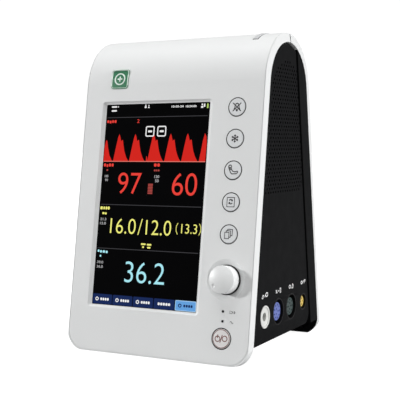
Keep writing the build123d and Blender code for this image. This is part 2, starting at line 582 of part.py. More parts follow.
def chassis():
    """Steel sheet bent to a trough: front wall, floor and rear wall."""
    z_low = CHASSIS_Z
    front_wall = box_on(FACE, -9.0, 96.0, CHASSIS_FRONT_N - SHEET, CHASSIS_FRONT_N, 118.0, 184.0, 5)
    rear_wall = box_on(REAR, 0.5, 98.0, CHASSIS_REAR_N, CHASSIS_REAR_N + SHEET, 131.0, 184.0, 5)
    above = block(-100, 100, -150, 150, z_low, 300)
    y_low = from_front((z_low * SIN_F - CHASSIS_FRONT_N) / COS_F)
    y_high = Y_REAR - (z_low * SIN_R - CHASSIS_REAR_N) / COS_R
    sheet = (front_wall & above) + (rear_wall & above)
    sheet += block(-66, 50, y_low, y_high, z_low, z_low + SHEET)
    sheet -= box_on(FACE, -14.0, 110.0, -60, -20, 60.0, 70.0, 8)
    for u, v in BOARD_STANDOFFS:
        sheet -= disc_on(FACE, u, v, -60, -20, 2.6)
    for u, v in REAR_SCREWS:
        sheet -= disc_on(REAR, u, v, -60, -20, 3.3)
    for x, y in STAND_PLACES:
        sheet -= upright(x, y, z_low - 1, z_low + 3, 9.4)
    for x, y in BASE_SCREWS:
        sheet -= upright(x, y, z_low - 1, z_low + 3, 3.2)
    tube_hole = Pos(TUBE_X, from_front(38.0), PORT_Z) * Rotation(90, 0, 0) * Cylinder(6.0, 20)
    return sheet - tube_hole


def power_board():
    """Power supply board with its transformer, capacitors and heat sink."""
    top = POWER_BOARD_N + BOARD
    board = box_on(REAR, 27.0, 56.0, POWER_BOARD_N, top, 60.0, 66.0, 2)
    board += box_on(REAR, 40.0, 66.0, top, -10.0, 22.0, 20.0, 1)
    board += box_on(REAR, 12.0, 74.0, top, -12.0, 6.0, 26.0)
    for v in (34.0, 46.0):
        board += disc_on(REAR, 46.0, v, top, -9.0, 9.0)
    return board


def battery_bay():
    """Open plastic box behind the battery door."""
    bay = box_on(REAR, 0, DOOR_V, BAY_N, -WALL, DOOR_W - 2, DOOR_H - 2, 3)
    bay -= box_on(REAR, 0, DOOR_V, BAY_N + 1.6, 1, DOOR_W - 6, DOOR_H - 6, 2)
    for u in DOOR_SCREWS:
        bay += disc_on(REAR, u, DOOR_V, -9.0, -WALL, 5.0)
        bay -= disc_on(REAR, u, DOOR_V, -8.0, 0, 2.04)
    return bay


def battery_pack():
    """Shrink-wrapped block of round cells."""
    return box_on(REAR, 0, DOOR_V, BAY_N + 1.9, -4.4, DOOR_W - 10, DOOR_H - 10, 6)


def battery_door():
    """Flush rear door held by two screws, with three grip ribs."""
    door = box_on(REAR, 0, DOOR_V, -DOOR_LEDGE_N + 0.05, -0.1, DOOR_W - 0.8, DOOR_H - 0.8, 4.6)
    for row in (-4, 0, 4):
        door -= box_on(REAR, 0, DOOR_V + row, -0.8, 1, 34.0, 1.6, 0.7)
    for u in DOOR_SCREWS:
        door -= disc_on(REAR, u, DOOR_V, -5, 1, DOOR_SHANK_D + 0.3)
        door -= disc_on(REAR, u, DOOR_V, -DOOR_SEAT_DEPTH, 1, DOOR_HEAD_D + 0.2)
    return door


def door_screws():
    """Two small screws through the battery door."""
    screws = []
    for u in DOOR_SCREWS:
        head = disc_on(REAR, u, DOOR_V, -DOOR_SEAT_DEPTH, -0.15, DOOR_HEAD_D)
        screws.append(head + disc_on(REAR, u, DOOR_V, -5.0, -DOOR_SEAT_DEPTH, DOOR_SHANK_D))
    return Compound(children=screws)


def rear_screws():
    """Four screws that hold the rear shell to the chassis spacers."""
    screws = []
    for u, v in REAR_SCREWS:
        head = disc_on(REAR, u, v, -REAR_SEAT_DEPTH, -0.3, REAR_HEAD_D)
        head -= box_on(REAR, u, v, -1.0, 1, 3.6, 0.9)
        head -= box_on(REAR, u, v, -1.0, 1, 0.9, 3.6)
        screws.append(head + disc_on(REAR, u, v, -14.0, -REAR_SEAT_DEPTH, REAR_SHANK_D))
    return Compound(children=screws)


def base_screws():
    """Four screws up through the base into the chassis floor."""
    screws = []
    for x, y in BASE_SCREWS:
        head = upright(x, y, BASE_Z + 0.1, BASE_Z + 1.5, 5.8)
        screws.append(head + upright(x, y, BASE_Z + 1.5, CHASSIS_Z + 4, 3.1))
    return Compound(children=screws)


def base_inserts():
    """Four threaded brass inserts for a stand or a pole clamp."""
    inserts = []
    for x, y in STAND_PLACES:
        tube = upright(x, y, BASE_Z, BASE_Z + INSERT_LENGTH, 5.96)
        inserts.append(tube - upright(x, y, BASE_Z - 1, BASE_Z + INSERT_LENGTH + 1, STAND_HOLE_D))
    return Compound(children=inserts)


def ac_inlet():
    """Three-pole mains inlet with its flange."""
    body = box_on(REAR, INLET_U, INLET_V, -22.0, 0.0, INLET_W - 3.4, INLET_H - 3.4, 1.8)
    body += box_on(REAR, INLET_U, INLET_V, 0.02, 1.6, INLET_W, INLET_H, 2.5)
    body += box_on(REAR, INLET_U, INLET_V, -0.1, 0.1, INLET_W - 3.4, INLET_H - 3.4, 1.8)
    return body - box_on(REAR, INLET_U, INLET_V, INLET_FLOOR_N, 3, INLET_W - 6, INLET_H - 6, 1.5)


def inlet_pins():
    """Three flat pins on the inlet's floor."""
    places = [(-7, -1.5), (0, 2.5), (7, -1.5)]
    pins = []
    for du, dv in places:
        pins.append(box_on(REAR, INLET_U + du, INLET_V + dv, INLET_FLOOR_N, INLET_FLOOR_N + 10, 2.0, 4.0))
    return Compound(children=pins)


def ground_stud():
    """Equipotential earth stud with the flange that closes its hole."""
    flange = disc_on(REAR, STUD_U, STUD_V, -WALL - 1.5, -WALL, STUD_WELL_D + 4)
    return flange + disc_on(REAR, STUD_U, STUD_V, -WALL, STUD_TOP_N, STUD_D)


# ---------------------------------------------------------------- patient ports and what they serve
def port_cup(y, diameter):
    """Black cup behind the side panel that a plug's collar enters."""
    y = from_front(y)
    cup = tube_on(OUTWARD, y, PORT_Z, -CUP_DEPTH, 0.0, diameter, diameter - 2 * CUP_WALL)
    return cup + disc_on(OUTWARD, y, PORT_Z, -CUP_DEPTH - 1.0, -CUP_DEPTH, diameter)


def port_insert(y, diameter, rings):
    """Round contact block in the middle of a port, with rings of contact holes."""
    y = from_front(y)
    insert = disc_on(OUTWARD, y, PORT_Z, -CUP_DEPTH, -INSERT_SUNK, diameter)
    insert = chamfer(insert.edges().filter_by(GeomType.CIRCLE).sort_by(Axis.X)[-1], 0.4)
    for holes, radius in rings:
        for spot in PolarLocations(radius, holes):
            dy, dz = spot.position.X, spot.position.Y
            insert -= disc_on(OUTWARD, y + dy, PORT_Z + dz, -INSERT_SUNK - CONTACT_DEPTH, 0, CONTACT_D)
    return insert


def nibp_socket():
    """White air socket for the cuff hose: raised ring, bore and hose barb."""
    y = from_front(NIBP_Y)
    socket = disc_on(OUTWARD, y, PORT_Z, -14.0, 0.3, NIBP_D)
    socket += disc_on(OUTWARD, y, PORT_Z, SIDE_FLANGE_N - 2.0, SIDE_FLANGE_N, NIBP_D + 3.5)
    socket += disc_on(OUTWARD, y, PORT_Z, -20.0, -14.0, 5.0)
    socket -= disc_on(OUTWARD, y, PORT_Z, -0.5, 1, NIBP_D - 2.4)
    socket -= disc_on(OUTWARD, y, PORT_Z, -NIBP_BORE_DEPTH, 1, NIBP_BORE_D)
    return socket - disc_on(OUTWARD, y, PORT_Z, -25, 0, 2.6)


def measurement_board():
    """Board behind the sensor ports."""
    x_high = SIDE_X - CUP_DEPTH - 1.1
    return block(x_high - BOARD, x_high, from_front(44), from_front(100), 19, 60)


def nibp_pump():
    """Small diaphragm pump: round motor and square head."""
    y, z = from_front(80), CHASSIS_Z + 18.5
    motor = Pos(10, y, z) * Rotation(0, 90, 0) * Cylinder(12, 42)
    head = block(31, 49, y - 13, y + 13, z - 14, z + 14)
    nozzle = Pos(TUBE_X, y - 13 - 4, PORT_Z) * Rotation(90, 0, 0) * Cylinder(2.5, 8)
    return motor + head + nozzle


def nibp_valve():
    """Solenoid bleed valve."""
    z = CHASSIS_Z + SHEET
    valve = block(-44, -24, from_front(68), from_front(90), z, z + 26)
    return valve + upright(-34, from_front(79), z + 26, z + 34, 5.0)


def air_tube():
    """Silicone tube from the pump's nozzle to the cuff port's barb."""
    end_x = SIDE_X - 20.0
    y_port, y_pump = from_front(NIBP_Y), from_front(80 - 13 - 8)
    corner, end = (TUBE_X, y_port, PORT_Z), (TUBE_X, y_pump, PORT_Z)
    route = FilletPolyline((end_x, y_port, PORT_Z), corner, end, radius=10.0)
    ring = Plane(origin=(end_x, y_port, PORT_Z), z_dir=(-1, 0, 0)) * (Circle(3.0) - Circle(1.6))
    return sweep(ring, path=route)


def speaker():
    """Round loudspeaker behind the perforated part of the right side panel."""
    y, z = from_front(68), 165.0
    basket = disc_on(OUTWARD, y, z, SIDE_FLANGE_N - 3.0, SIDE_FLANGE_N - 0.2, 36.0)
    basket += disc_on(OUTWARD, y, z, SIDE_FLANGE_N - 9.0, SIDE_FLANGE_N - 3.0, 30.0)
    basket += disc_on(OUTWARD, y, z, SIDE_FLANGE_N - 16.0, SIDE_FLANGE_N - 9.0, 20.0)
    return basket - disc_on(OUTWARD, y, z, SIDE_FLANGE_N - 2.0, SIDE_FLANGE_N, 31.0)


# ---------------------------------------------------------------- all the pieces
parts = {
    "front_shell": front_shell(),
    "rear_shell": rear_shell(),
    "right_side_panel": right_side_panel(),
    "left_side_panel": mirror(side_panel(), about=Plane.YZ),
    "rear_frame": rear_frame(),
    "base_plate": base_plate(),
    "crown_seal": crown_seal(),
    "foot_pads": foot_pads(),
    "emblem_badge": badge_layer(-BADGE_PROUD, BADGE_SUNK, BADGE_SIZE),
    "display_gasket": display_gasket(),
    "display_window": display_window(),
    "lcd_module": lcd_module(),
    "display_bracket": display_bracket(),
    "front_screws": front_screws(),
    "power_key": push_key(POWER_X, POWER_V, POWER_D, POWER_TRAVEL),
    "key_board": key_board(),
    "key_switches": key_switches(),
    "encoder_body": encoder_body(),
    "encoder_nut": encoder_nut(),
    "encoder_plunger": encoder_plunger(),
    "encoder_shaft": encoder_shaft(),
    "control_knob": control_knob(),
    "knob_skirt": knob_skirt(),
    "led_light_pipes": led_light_pipes(),
    "alarm_light_bar": alarm_light_bar(),
    "alarm_bar_seal": alarm_bar_seal(),
    "alarm_board": alarm_board(),
    "main_board": main_board(),
    "board_spacers": standoffs(FACE, BOARD_STANDOFFS, MAIN_BOARD_N, BRACKET_N - SHEET, 6.0, 2.6),
    "chassis": chassis(),
    "chassis_spacers": standoffs(FACE, BOARD_STANDOFFS, CHASSIS_FRONT_N, MAIN_BOARD_N - BOARD, 6.0, 2.6),
    "rear_spacers": standoffs(REAR, REAR_SCREWS, CHASSIS_REAR_N + SHEET, -WALL, 7.0, 3.3),
    "power_board": power_board(),
    "battery_bay": battery_bay(),
    "battery_pack": battery_pack(),
    "battery_door": battery_door(),
    "door_screws": door_screws(),
    "rear_screws": rear_screws(),
    "base_screws": base_screws(),
    "base_inserts": base_inserts(),
    "ac_inlet": ac_inlet(),
    "inlet_pins": inlet_pins(),
    "ground_stud": ground_stud(),
    "nibp_socket": nibp_socket(),
    "spo2_cup": port_cup(SPO2_Y, BIG_CUP_D),
    "spo2_insert": port_insert(SPO2_Y, BIG_INSERT_D, SPO2_RINGS),
    "ecg_cup": port_cup(ECG_Y, BIG_CUP_D),
    "ecg_insert": port_insert(ECG_Y, BIG_INSERT_D, ECG_RINGS),
    "temp_cup": port_cup(TEMP_Y, SMALL_CUP_D),
    "temp_insert": port_insert(TEMP_Y, SMALL_INSERT_D, TEMP_RINGS),
    "measurement_board": measurement_board(),
    "nibp_pump": nibp_pump(),
    "nibp_valve": nibp_valve(),
    "air_tube": air_tube(),
    "speaker": speaker(),
}
for name, v in KEY_V.items():
    parts[name] = push_key(KEY_X, v, KEY_D, KEY_TRAVEL)

os.makedirs("parts", exist_ok=True)
for name, solid in parts.items():
    export_step(solid, "parts/" + name + ".step")
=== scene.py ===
import json
from math import cos, pi, radians, sin

import bpy
from mathutils import Matrix, Vector


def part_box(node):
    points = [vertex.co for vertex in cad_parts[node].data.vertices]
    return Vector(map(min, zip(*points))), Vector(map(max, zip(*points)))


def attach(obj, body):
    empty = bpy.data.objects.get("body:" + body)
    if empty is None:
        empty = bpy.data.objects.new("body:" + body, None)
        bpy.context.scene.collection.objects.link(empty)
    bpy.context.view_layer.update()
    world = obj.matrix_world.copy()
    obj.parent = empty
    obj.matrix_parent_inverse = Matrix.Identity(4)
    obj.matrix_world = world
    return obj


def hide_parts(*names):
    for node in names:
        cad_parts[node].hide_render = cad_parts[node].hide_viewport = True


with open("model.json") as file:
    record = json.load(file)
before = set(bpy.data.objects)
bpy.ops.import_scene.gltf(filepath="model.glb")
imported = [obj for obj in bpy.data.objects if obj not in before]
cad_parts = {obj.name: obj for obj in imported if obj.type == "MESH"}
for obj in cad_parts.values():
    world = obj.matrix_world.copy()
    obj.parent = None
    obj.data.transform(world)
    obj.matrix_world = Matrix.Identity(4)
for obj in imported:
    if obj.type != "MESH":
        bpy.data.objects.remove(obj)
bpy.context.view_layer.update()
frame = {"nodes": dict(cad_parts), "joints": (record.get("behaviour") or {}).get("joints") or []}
bpy.ops.object.select_all(action="DESELECT")

# ---------------------------------------------------------------- studio
# A white table under even daylight. A low lamp from the left draws the knob's long shadow, one
# from the right lights the rim, and one overhead the crown. The camera stands low, to the right.
TABLE_SIDE, TABLE_GREY, TABLE_SHINE = 30.0, 0.42, 0.92
bpy.ops.mesh.primitive_plane_add(size=TABLE_SIDE, location=(0, 0, 0))
table = bpy.context.object
table.name = "studio_table"

pale = bpy.data.materials.new("studio_pale")
pale.use_nodes = True
pale_nodes, pale_links = pale.node_tree.nodes, pale.node_tree.links
pale_nodes.clear()
table_paint = pale_nodes.new("ShaderNodeBsdfDiffuse")
table_paint.inputs["Color"].default_value = (TABLE_GREY, TABLE_GREY, TABLE_GREY, 1)
table_glow = pale_nodes.new("ShaderNodeEmission")
table_path = pale_nodes.new("ShaderNodeLightPath")
table_share = pale_nodes.new("ShaderNodeMath")
table_share.operation = "MULTIPLY"
table_share.inputs[1].default_value = TABLE_SHINE
table_sum = pale_nodes.new("ShaderNodeAddShader")
table_out = pale_nodes.new("ShaderNodeOutputMaterial")
pale_links.new(table_path.outputs["Is Camera Ray"], table_share.inputs[0])
pale_links.new(table_share.outputs[0], table_glow.inputs["Strength"])
pale_links.new(table_paint.outputs[0], table_sum.inputs[0])
pale_links.new(table_glow.outputs[0], table_sum.inputs[1])
pale_links.new(table_sum.outputs[0], table_out.inputs["Surface"])
table.data.materials.append(pale)

world = bpy.data.worlds.new("studio_air")
world.use_nodes = True
air_nodes, air_links = world.node_tree.nodes, world.node_tree.links
air = air_nodes["Background"]
air_path = air_nodes.new("ShaderNodeLightPath")
air_share = air_nodes.new("ShaderNodeMapRange")
AIR_LIGHT, AIR_SEEN = 0.30, 1.05
air_share.inputs["To Min"].default_value = AIR_LIGHT
air_share.inputs["To Max"].default_value = AIR_SEEN
air_links.new(air_path.outputs["Is Camera Ray"], air_share.inputs["Value"])
air_links.new(air_share.outputs["Result"], air.inputs["Strength"])
air.inputs["Color"].default_value = (1.0, 1.0, 1.0, 1)
bpy.context.scene.world = world
bpy.context.scene.view_settings.view_transform = "Standard"


def daylight(name, towards, strength, spread):
    """A distant lamp. towards points from the monitor to the lamp."""
    lamp_data = bpy.data.lights.new(name, "SUN")
    lamp_data.energy = strength
    lamp_data.angle = radians(spread)
    lamp = bpy.data.objects.new(name, lamp_data)
    lamp.rotation_euler = (-Vector(towards)).to_track_quat("-Z", "Y").to_euler()
    bpy.context.collection.objects.link(lamp)


daylight("lamp_left", (-0.80, -0.50, 0.25), 1.65, 5.0)
daylight("lamp_right", (0.90, 0.05, 0.30), 2.5, 20.0)
daylight("lamp_overhead", (-0.1, -0.1, 1.0), 1.4, 40.0)

camera_data = bpy.data.cameras.new("camera")
camera_data.lens = 83.26
camera_data.sensor_width = 36.0
camera_data.clip_start = 0.01
camera = bpy.data.objects.new("camera", camera_data)
CAMERA_TURN, CAMERA_DIP, CAMERA_ROLL = radians(27.62), radians(3.4), radians(-0.28)
camera.matrix_world = (
    Matrix.Translation((0.3430, -0.6518, 0.1564))
    @ Matrix.Rotation(CAMERA_TURN, 4, "Z")
    @ Matrix.Rotation(pi / 2 - CAMERA_DIP, 4, "X")
    @ Matrix.Rotation(CAMERA_ROLL, 4, "Z")
)
bpy.context.collection.objects.link(camera)
bpy.context.scene.camera = camera


# ---------------------------------------------------------------- white shells
# The front and rear shells are injection-moulded ABS in a warm white, with a fine spark-eroded
# grain, the faint cloudiness of thick mouldings and a little dust on what faces up.
def effect_group(name, takes, gives):
    """A new shader node group with its sockets. takes and gives are (name, kind) pairs."""
    group = bpy.data.node_groups.new(name, "ShaderNodeTree")
    for socket, kind in takes:
        group.interface.new_socket(socket, in_out="INPUT", socket_type="NodeSocket" + kind)
    for socket, kind in gives:
        group.interface.new_socket(socket, in_out="OUTPUT", socket_type="NodeSocket" + kind)
    group.nodes.new("NodeGroupInput")
    group.nodes.new("NodeGroupOutput")
    return group


def noise(group, vector, scale, detail=2.0):
    """A noise texture over vector. scale is a number, or a socket that gives it."""
    texture = group.nodes.new("ShaderNodeTexNoise")
    texture.inputs["Detail"].default_value = detail
    group.links.new(vector, texture.inputs["Vector"])
    if isinstance(scale, (int, float)):
        texture.inputs["Scale"].default_value = scale
    else:
        group.links.new(scale, texture.inputs["Scale"])
    return texture.outputs["Fac"]


def sums(group, operation, first, second):
    """One arithmetic step. Each side is a socket or a number."""
    step = group.nodes.new("ShaderNodeMath")
    step.operation = operation
    for socket, value in zip(step.inputs, (first, second)):
        if isinstance(value, (int, float)):
            socket.default_value = value
        else:
            group.links.new(value, socket)
    return step.outputs[0]


def blend_colour(group, share, first, second, kind="MIX"):
    """Mixes two colours. share is a socket or a number, second a socket or a colour."""
    mix = group.nodes.new("ShaderNodeMix")
    mix.data_type = "RGBA"
    mix.blend_type = kind
    sockets = (mix.inputs["Factor"], mix.inputs["A"], mix.inputs["B"])
    for socket, value in zip(sockets, (share, first, second)):
        if isinstance(value, (int, float, tuple)):
            socket.default_value = value
        else:
            group.links.new(value, socket)
    return mix.outputs["Result"]


def moulded_skin():
    """Cloudy colour, uneven gloss and a fine eroded grain, as on a moulding."""
    takes = [("Place", "Vector"), ("Colour", "Color"), ("Gloss", "Float")]
    takes += [("Cloud", "Float"), ("Grain", "Float")]
    gives = [("Colour", "Color"), ("Gloss", "Float"), ("Height", "Float")]
    group = effect_group("moulded_skin", takes, gives)
    given, made = group.nodes["Group Input"].outputs, group.nodes["Group Output"].inputs
    cloud = noise(group, given["Place"], 28.0, 3.0)
    grey = group.nodes.new("ShaderNodeCombineColor")
    lift = sums(group, "SUBTRACT", 1.0, sums(group, "MULTIPLY", given["Cloud"], 0.5))
    level = sums(group, "ADD", sums(group, "MULTIPLY", cloud, given["Cloud"]), lift)
    for channel in ("Red", "Green", "Blue"):
        group.links.new(level, grey.inputs[channel])
    group.links.new(blend_colour(group, 1.0, given["Colour"], grey.outputs[0], "MULTIPLY"), made["Colour"])
    patch = sums(group, "SUBTRACT", noise(group, given["Place"], 90.0, 4.0), 0.5)
    group.links.new(sums(group, "ADD", given["Gloss"], sums(group, "MULTIPLY", patch, 0.18)), made["Gloss"])
    group.links.new(noise(group, given["Place"], given["Grain"], 2.0), made["Height"])
    return group


def settled_dust():
    """Pale dust in patches on what faces up, which also takes the shine off."""
    takes = [("Place", "Vector"), ("Colour", "Color"), ("Gloss", "Float")]
    takes += [("Dust", "Color"), ("Amount", "Float")]
    group = effect_group("settled_dust", takes, [("Colour", "Color"), ("Gloss", "Float")])
    given, made = group.nodes["Group Input"].outputs, group.nodes["Group Output"].inputs
    facing = group.nodes.new("ShaderNodeNewGeometry")
    split = group.nodes.new("ShaderNodeSeparateXYZ")
    group.links.new(facing.outputs["Normal"], split.inputs[0])
    up = sums(group, "MAXIMUM", split.outputs["Z"], 0.0)
    patch = noise(group, given["Place"], 160.0, 6.0)
    share = sums(group, "MULTIPLY", sums(group, "MULTIPLY", up, patch), given["Amount"])
    group.links.new(blend_colour(group, share, given["Colour"], given["Dust"]), made["Colour"])
    group.links.new(sums(group, "ADD", given["Gloss"], sums(group, "MULTIPLY", share, 0.6)), made["Gloss"])
    return group


MOULDED_SKIN, SETTLED_DUST = moulded_skin(), settled_dust()


def plastic(name, colour, gloss, cloud=0.04, grain=2600.0, depth=0.00002, dust=0.06, shine=0.5):
    """A moulded plastic or rubber. gloss is its roughness, depth its grain's height in metres."""
    paint = bpy.data.materials.new(name)
    paint.use_nodes = True
    tree = paint.node_tree
    shader = tree.nodes["Principled BSDF"]
    shader.inputs["Specular IOR Level"].default_value = shine
    place = tree.nodes.new("ShaderNodeTexCoord").outputs["Object"]
    skin = tree.nodes.new("ShaderNodeGroup")
    skin.node_tree = MOULDED_SKIN
    skin.inputs["Colour"].default_value = (*colour, 1)
    skin.inputs["Gloss"].default_value = gloss
    skin.inputs["Cloud"].default_value = cloud
    skin.inputs["Grain"].default_value = grain
    film = tree.nodes.new("ShaderNodeGroup")
    film.node_tree = SETTLED_DUST
    film.inputs["Dust"].default_value = (0.55, 0.53, 0.50, 1)
    film.inputs["Amount"].default_value = dust
    bump = tree.nodes.new("ShaderNodeBump")
    bump.inputs["Strength"].default_value = 0.6
    bump.inputs["Distance"].default_value = depth
    tree.links.new(place, skin.inputs["Place"])
    tree.links.new(place, film.inputs["Place"])
    tree.links.new(skin.outputs["Colour"], film.inputs["Colour"])
    tree.links.new(skin.outputs["Gloss"], film.inputs["Gloss"])
    tree.links.new(film.outputs["Colour"], shader.inputs["Base Color"])
    tree.links.new(film.outputs["Gloss"], shader.inputs["Roughness"])
    tree.links.new(skin.outputs["Height"], bump.inputs["Height"])
    tree.links.new(bump.outputs["Normal"], shader.inputs["Normal"])
    return paint


def dress(paint, *nodes):
    """Gives CAD nodes their finish."""
    for node in nodes:
        mesh = frame["nodes"][node].data
        mesh.materials.clear()
        mesh.materials.append(paint)


white_abs = plastic("white_abs", (0.79, 0.80, 0.80), 0.46, cloud=0.03, dust=0.05)
dress(white_abs, "front_shell", "rear_shell")

# ---------------------------------------------------------------- black side panels
# The two side panels are black ABS. A field of small round holes, in staggered rows, lets the
# warm air out over the upper half. The field's top follows the crown.
MM = 0.001
black_abs = plastic("black_abs", (0.0060, 0.0062, 0.0068), 0.60, cloud=0.16, grain=1900.0,
                    depth=0.00003, dust=0.02, shine=0.05)
# the holes' walls and floors get a near-black finish, darker than the panel: painted shade in the holes
painted_hole_shade = plastic("painted_hole_shade", (0.0012, 0.0012, 0.0012), 0.8, cloud=0.1, dust=0.0, shine=0.0)

HOLE_RADIUS, HOLE_DEPTH, HOLE_SIDES = 0.95 * MM, 1.9 * MM, 8
ROW_PITCH, HOLE_PITCH = 2.85 * MM, 4.6 * MM
FIELD_LOW, FIELD_TOP = 121.5 * MM, 220.0 * MM
FIELD_MIDDLE_Y, FIELD_ROUND_Z, FIELD_ROUND = 1.0 * MM, 188.0 * MM, 31.5 * MM
FIELD_TAPER_FRONT, FIELD_TAPER_REAR = 0.175, 0.06


def hole_places():
    """(y, z) of each hole: rows that taper with the case and close in an arch under the crown."""
    places = []
    row = 0
    z = FIELD_LOW
    while z < FIELD_TOP:
        below = FIELD_ROUND_Z - z
        if below > 0:
            front = FIELD_MIDDLE_Y - FIELD_ROUND - FIELD_TAPER_FRONT * below
            rear = FIELD_MIDDLE_Y + FIELD_ROUND - FIELD_TAPER_REAR * below
        else:
            half = max(FIELD_ROUND ** 2 - below ** 2, 0) ** 0.5
            front, rear = FIELD_MIDDLE_Y - half, FIELD_MIDDLE_Y + half
        y = FIELD_MIDDLE_Y + HOLE_PITCH * (row % 2) / 2
        y -= HOLE_PITCH * int((y - front) / HOLE_PITCH)
        while y < rear:
            places.append((y, z))
            y += HOLE_PITCH
        row += 1
        z = FIELD_LOW + row * ROW_PITCH
    return places


def drill(panel, face_x):
    """Cuts the air holes into the panel's outer face with one cutter of many small pins."""
    bpy.ops.object.select_all(action="DESELECT")
    bpy.ops.mesh.primitive_cylinder_add(vertices=HOLE_SIDES, radius=HOLE_RADIUS, depth=HOLE_DEPTH * 2,
                                        rotation=(0, pi / 2, 0))
    cutter = bpy.context.object
    bpy.ops.object.transform_apply(location=False, rotation=True, scale=False)
    pin = cutter.data.copy()
    # the pins' faces pass that painted hole shade on to the walls they cut
    pin.materials.append(black_abs)
    pin.materials.append(painted_hole_shade)
    for face in pin.polygons:
        face.material_index = 1
    pins = []
    for y, z in hole_places():
        one = bpy.data.objects.new("pin", pin.copy())
        one.data.transform(Matrix.Translation((face_x, y, z)))
        bpy.context.collection.objects.link(one)
        pins.append(one)
    bpy.ops.object.select_all(action="DESELECT")
    for one in pins:
        one.select_set(True)
    bpy.context.view_layer.objects.active = pins[0]
    bpy.ops.object.join()
    bpy.data.objects.remove(cutter)
    cut = panel.modifiers.new("air_holes", "BOOLEAN")
    cut.operation = "DIFFERENCE"
    cut.solver = "EXACT"
    cut.object = pins[0]
    bpy.ops.object.select_all(action="DESELECT")
    panel.select_set(True)
    bpy.context.view_layer.objects.active = panel
    bpy.ops.object.modifier_apply(modifier=cut.name)
    bpy.data.objects.remove(pins[0])


def merged_copy(node, name):
    """A copy of a CAD node's mesh with its loose triangles joined up, ready to be edited."""
    mesh = frame["nodes"][node].data.copy()
    piece = bpy.data.objects.new(name, mesh)
    bpy.context.collection.objects.link(piece)
    bpy.ops.object.select_all(action="DESELECT")
    piece.select_set(True)
    bpy.context.view_layer.objects.active = piece
    bpy.ops.object.mode_set(mode="EDIT")
    bpy.ops.mesh.select_all(action="SELECT")
    bpy.ops.mesh.remove_doubles(threshold=0.000002)
    bpy.ops.object.mode_set(mode="OBJECT")
    return piece


for side, node in ((1, "right_side_panel"), (-1, "left_side_panel")):
    panel = merged_copy(node, node.replace("panel", "grille"))
    panel.data.materials.clear()
    panel.data.materials.append(black_abs)
    panel.data.materials.append(painted_hole_shade)
    low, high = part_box(node)
    drill(panel, high.x if side > 0 else low.x)
    bpy.ops.object.shade_smooth_by_angle(angle=radians(35))
    even = panel.modifiers.new("even_faces", "WEIGHTED_NORMAL")
    even.keep_sharp = True
    bpy.ops.object.modifier_apply(modifier=even.name)
    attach(panel, "case")
    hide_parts(node)

dress(black_abs, "left_side_panel", "right_side_panel", "rear_frame", "base_plate")

# ---------------------------------------------------------------- seals and feet
# Soft black rubber: the strip in the crown's seam, the light bar's surround, the display gasket
# and four foot pads let into the shells.
rubber = plastic("seal_rubber", (0.016, 0.016, 0.017), 0.75, cloud=0.25, grain=900.0,
                 depth=0.00005, shine=0.15)
dress(rubber, "crown_seal", "alarm_bar_seal", "display_gasket", "foot_pads")

# ---------------------------------------------------------------- badge
# A thin enamelled plate let into the face. It has a pale border and a plain generic device, a
# ring round a plus, pressed a little proud of the green enamel.
knob_turn = next(joint for joint in frame["joints"] if joint["name"] == "knob_turn")
FACE_OUT = Vector(knob_turn["axis"]).normalized()
FACE_UP = FACE_OUT.cross(Vector((1, 0, 0))).normalized()
on_face = Vector(knob_turn["pos_m"])
FACE_FOOT = on_face - FACE_UP * (on_face.z / FACE_UP.z)
FACE_FOOT.x = 0.0


def on_front(x, up, out=0.0):
    """Where something x across, up the face and out from it goes, as a matrix. In millimetres."""
    turn = Matrix((Vector((1, 0, 0)), FACE_UP, FACE_OUT)).transposed().to_4x4()
    spot = FACE_FOOT + (Vector((1, 0, 0)) * x + FACE_UP * up + FACE_OUT * out) * MM
    return Matrix.Translation(spot) @ turn


def settle(piece, place, paint, body="case"):
    """Turns a curve or text into a mesh, puts it in place and gives it its finish and body."""
    bpy.ops.object.select_all(action="DESELECT")
    piece.select_set(True)
    bpy.context.view_layer.objects.active = piece
    if piece.type != "MESH":
        bpy.ops.object.convert(target="MESH")
        piece = bpy.context.object
    piece.data.transform(place)
    bpy.ops.object.mode_set(mode="EDIT")
    bpy.ops.mesh.select_all(action="SELECT")
    bpy.ops.mesh.remove_doubles(threshold=0.000001)
    bpy.ops.mesh.normals_make_consistent(inside=False)
    bpy.ops.object.mode_set(mode="OBJECT")
    piece.data.materials.clear()
    piece.data.materials.append(paint)
    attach(piece, body)
    return piece


def cut_shape(name, outlines, thick, place, paint, body="case"):
    """A flat shape cut from closed outlines, given in millimetres."""
    curve = bpy.data.curves.new(name, "CURVE")
    curve.dimensions = "2D"
    curve.fill_mode = "BOTH"
    curve.extrude = thick * MM / 2
    for outline in outlines:
        spline = curve.splines.new("POLY")
        spline.points.add(len(outline) - 1)
        for point, (x, y) in zip(spline.points, outline):
            point.co = (x * MM, y * MM, 0, 1)
        spline.use_cyclic_u = True
    shape = bpy.data.objects.new(name, curve)
    bpy.context.collection.objects.link(shape)
    return settle(shape, place, paint, body)


INK_FLATNESS = 0.25


def drawn_lines(name, lines, width, place, paint, body="case"):
    """Raised printed lines of one width through lists of points, given in millimetres."""
    curve = bpy.data.curves.new(name, "CURVE")
    curve.dimensions = "3D"
    curve.bevel_depth = width * MM / 2
    curve.bevel_resolution = 1
    curve.use_fill_caps = True
    for line in lines:
        spline = curve.splines.new("POLY")
        spline.points.add(len(line) - 1)
        for point, (x, y) in zip(spline.points, line):
            point.co = (x * MM, y * MM, 0, 1)
        spline.use_cyclic_u = line[0] == line[-1] and len(line) > 2
    shape = bpy.data.objects.new(name, curve)
    bpy.context.collection.objects.link(shape)
    return settle(shape, place @ Matrix.Diagonal((1, 1, INK_FLATNESS, 1)), paint, body)


def arc(x, y, radius, start=0.0, end=360.0, steps=18):
    """Points round an arc, angles in degrees."""
    angles = [radians(start + (end - start) * step / steps) for step in range(steps + 1)]
    points = [(x + radius * cos(angle), y + radius * sin(angle)) for angle in angles]
    return points[:-1] + [points[0]] if abs(end - start) == 360 else points


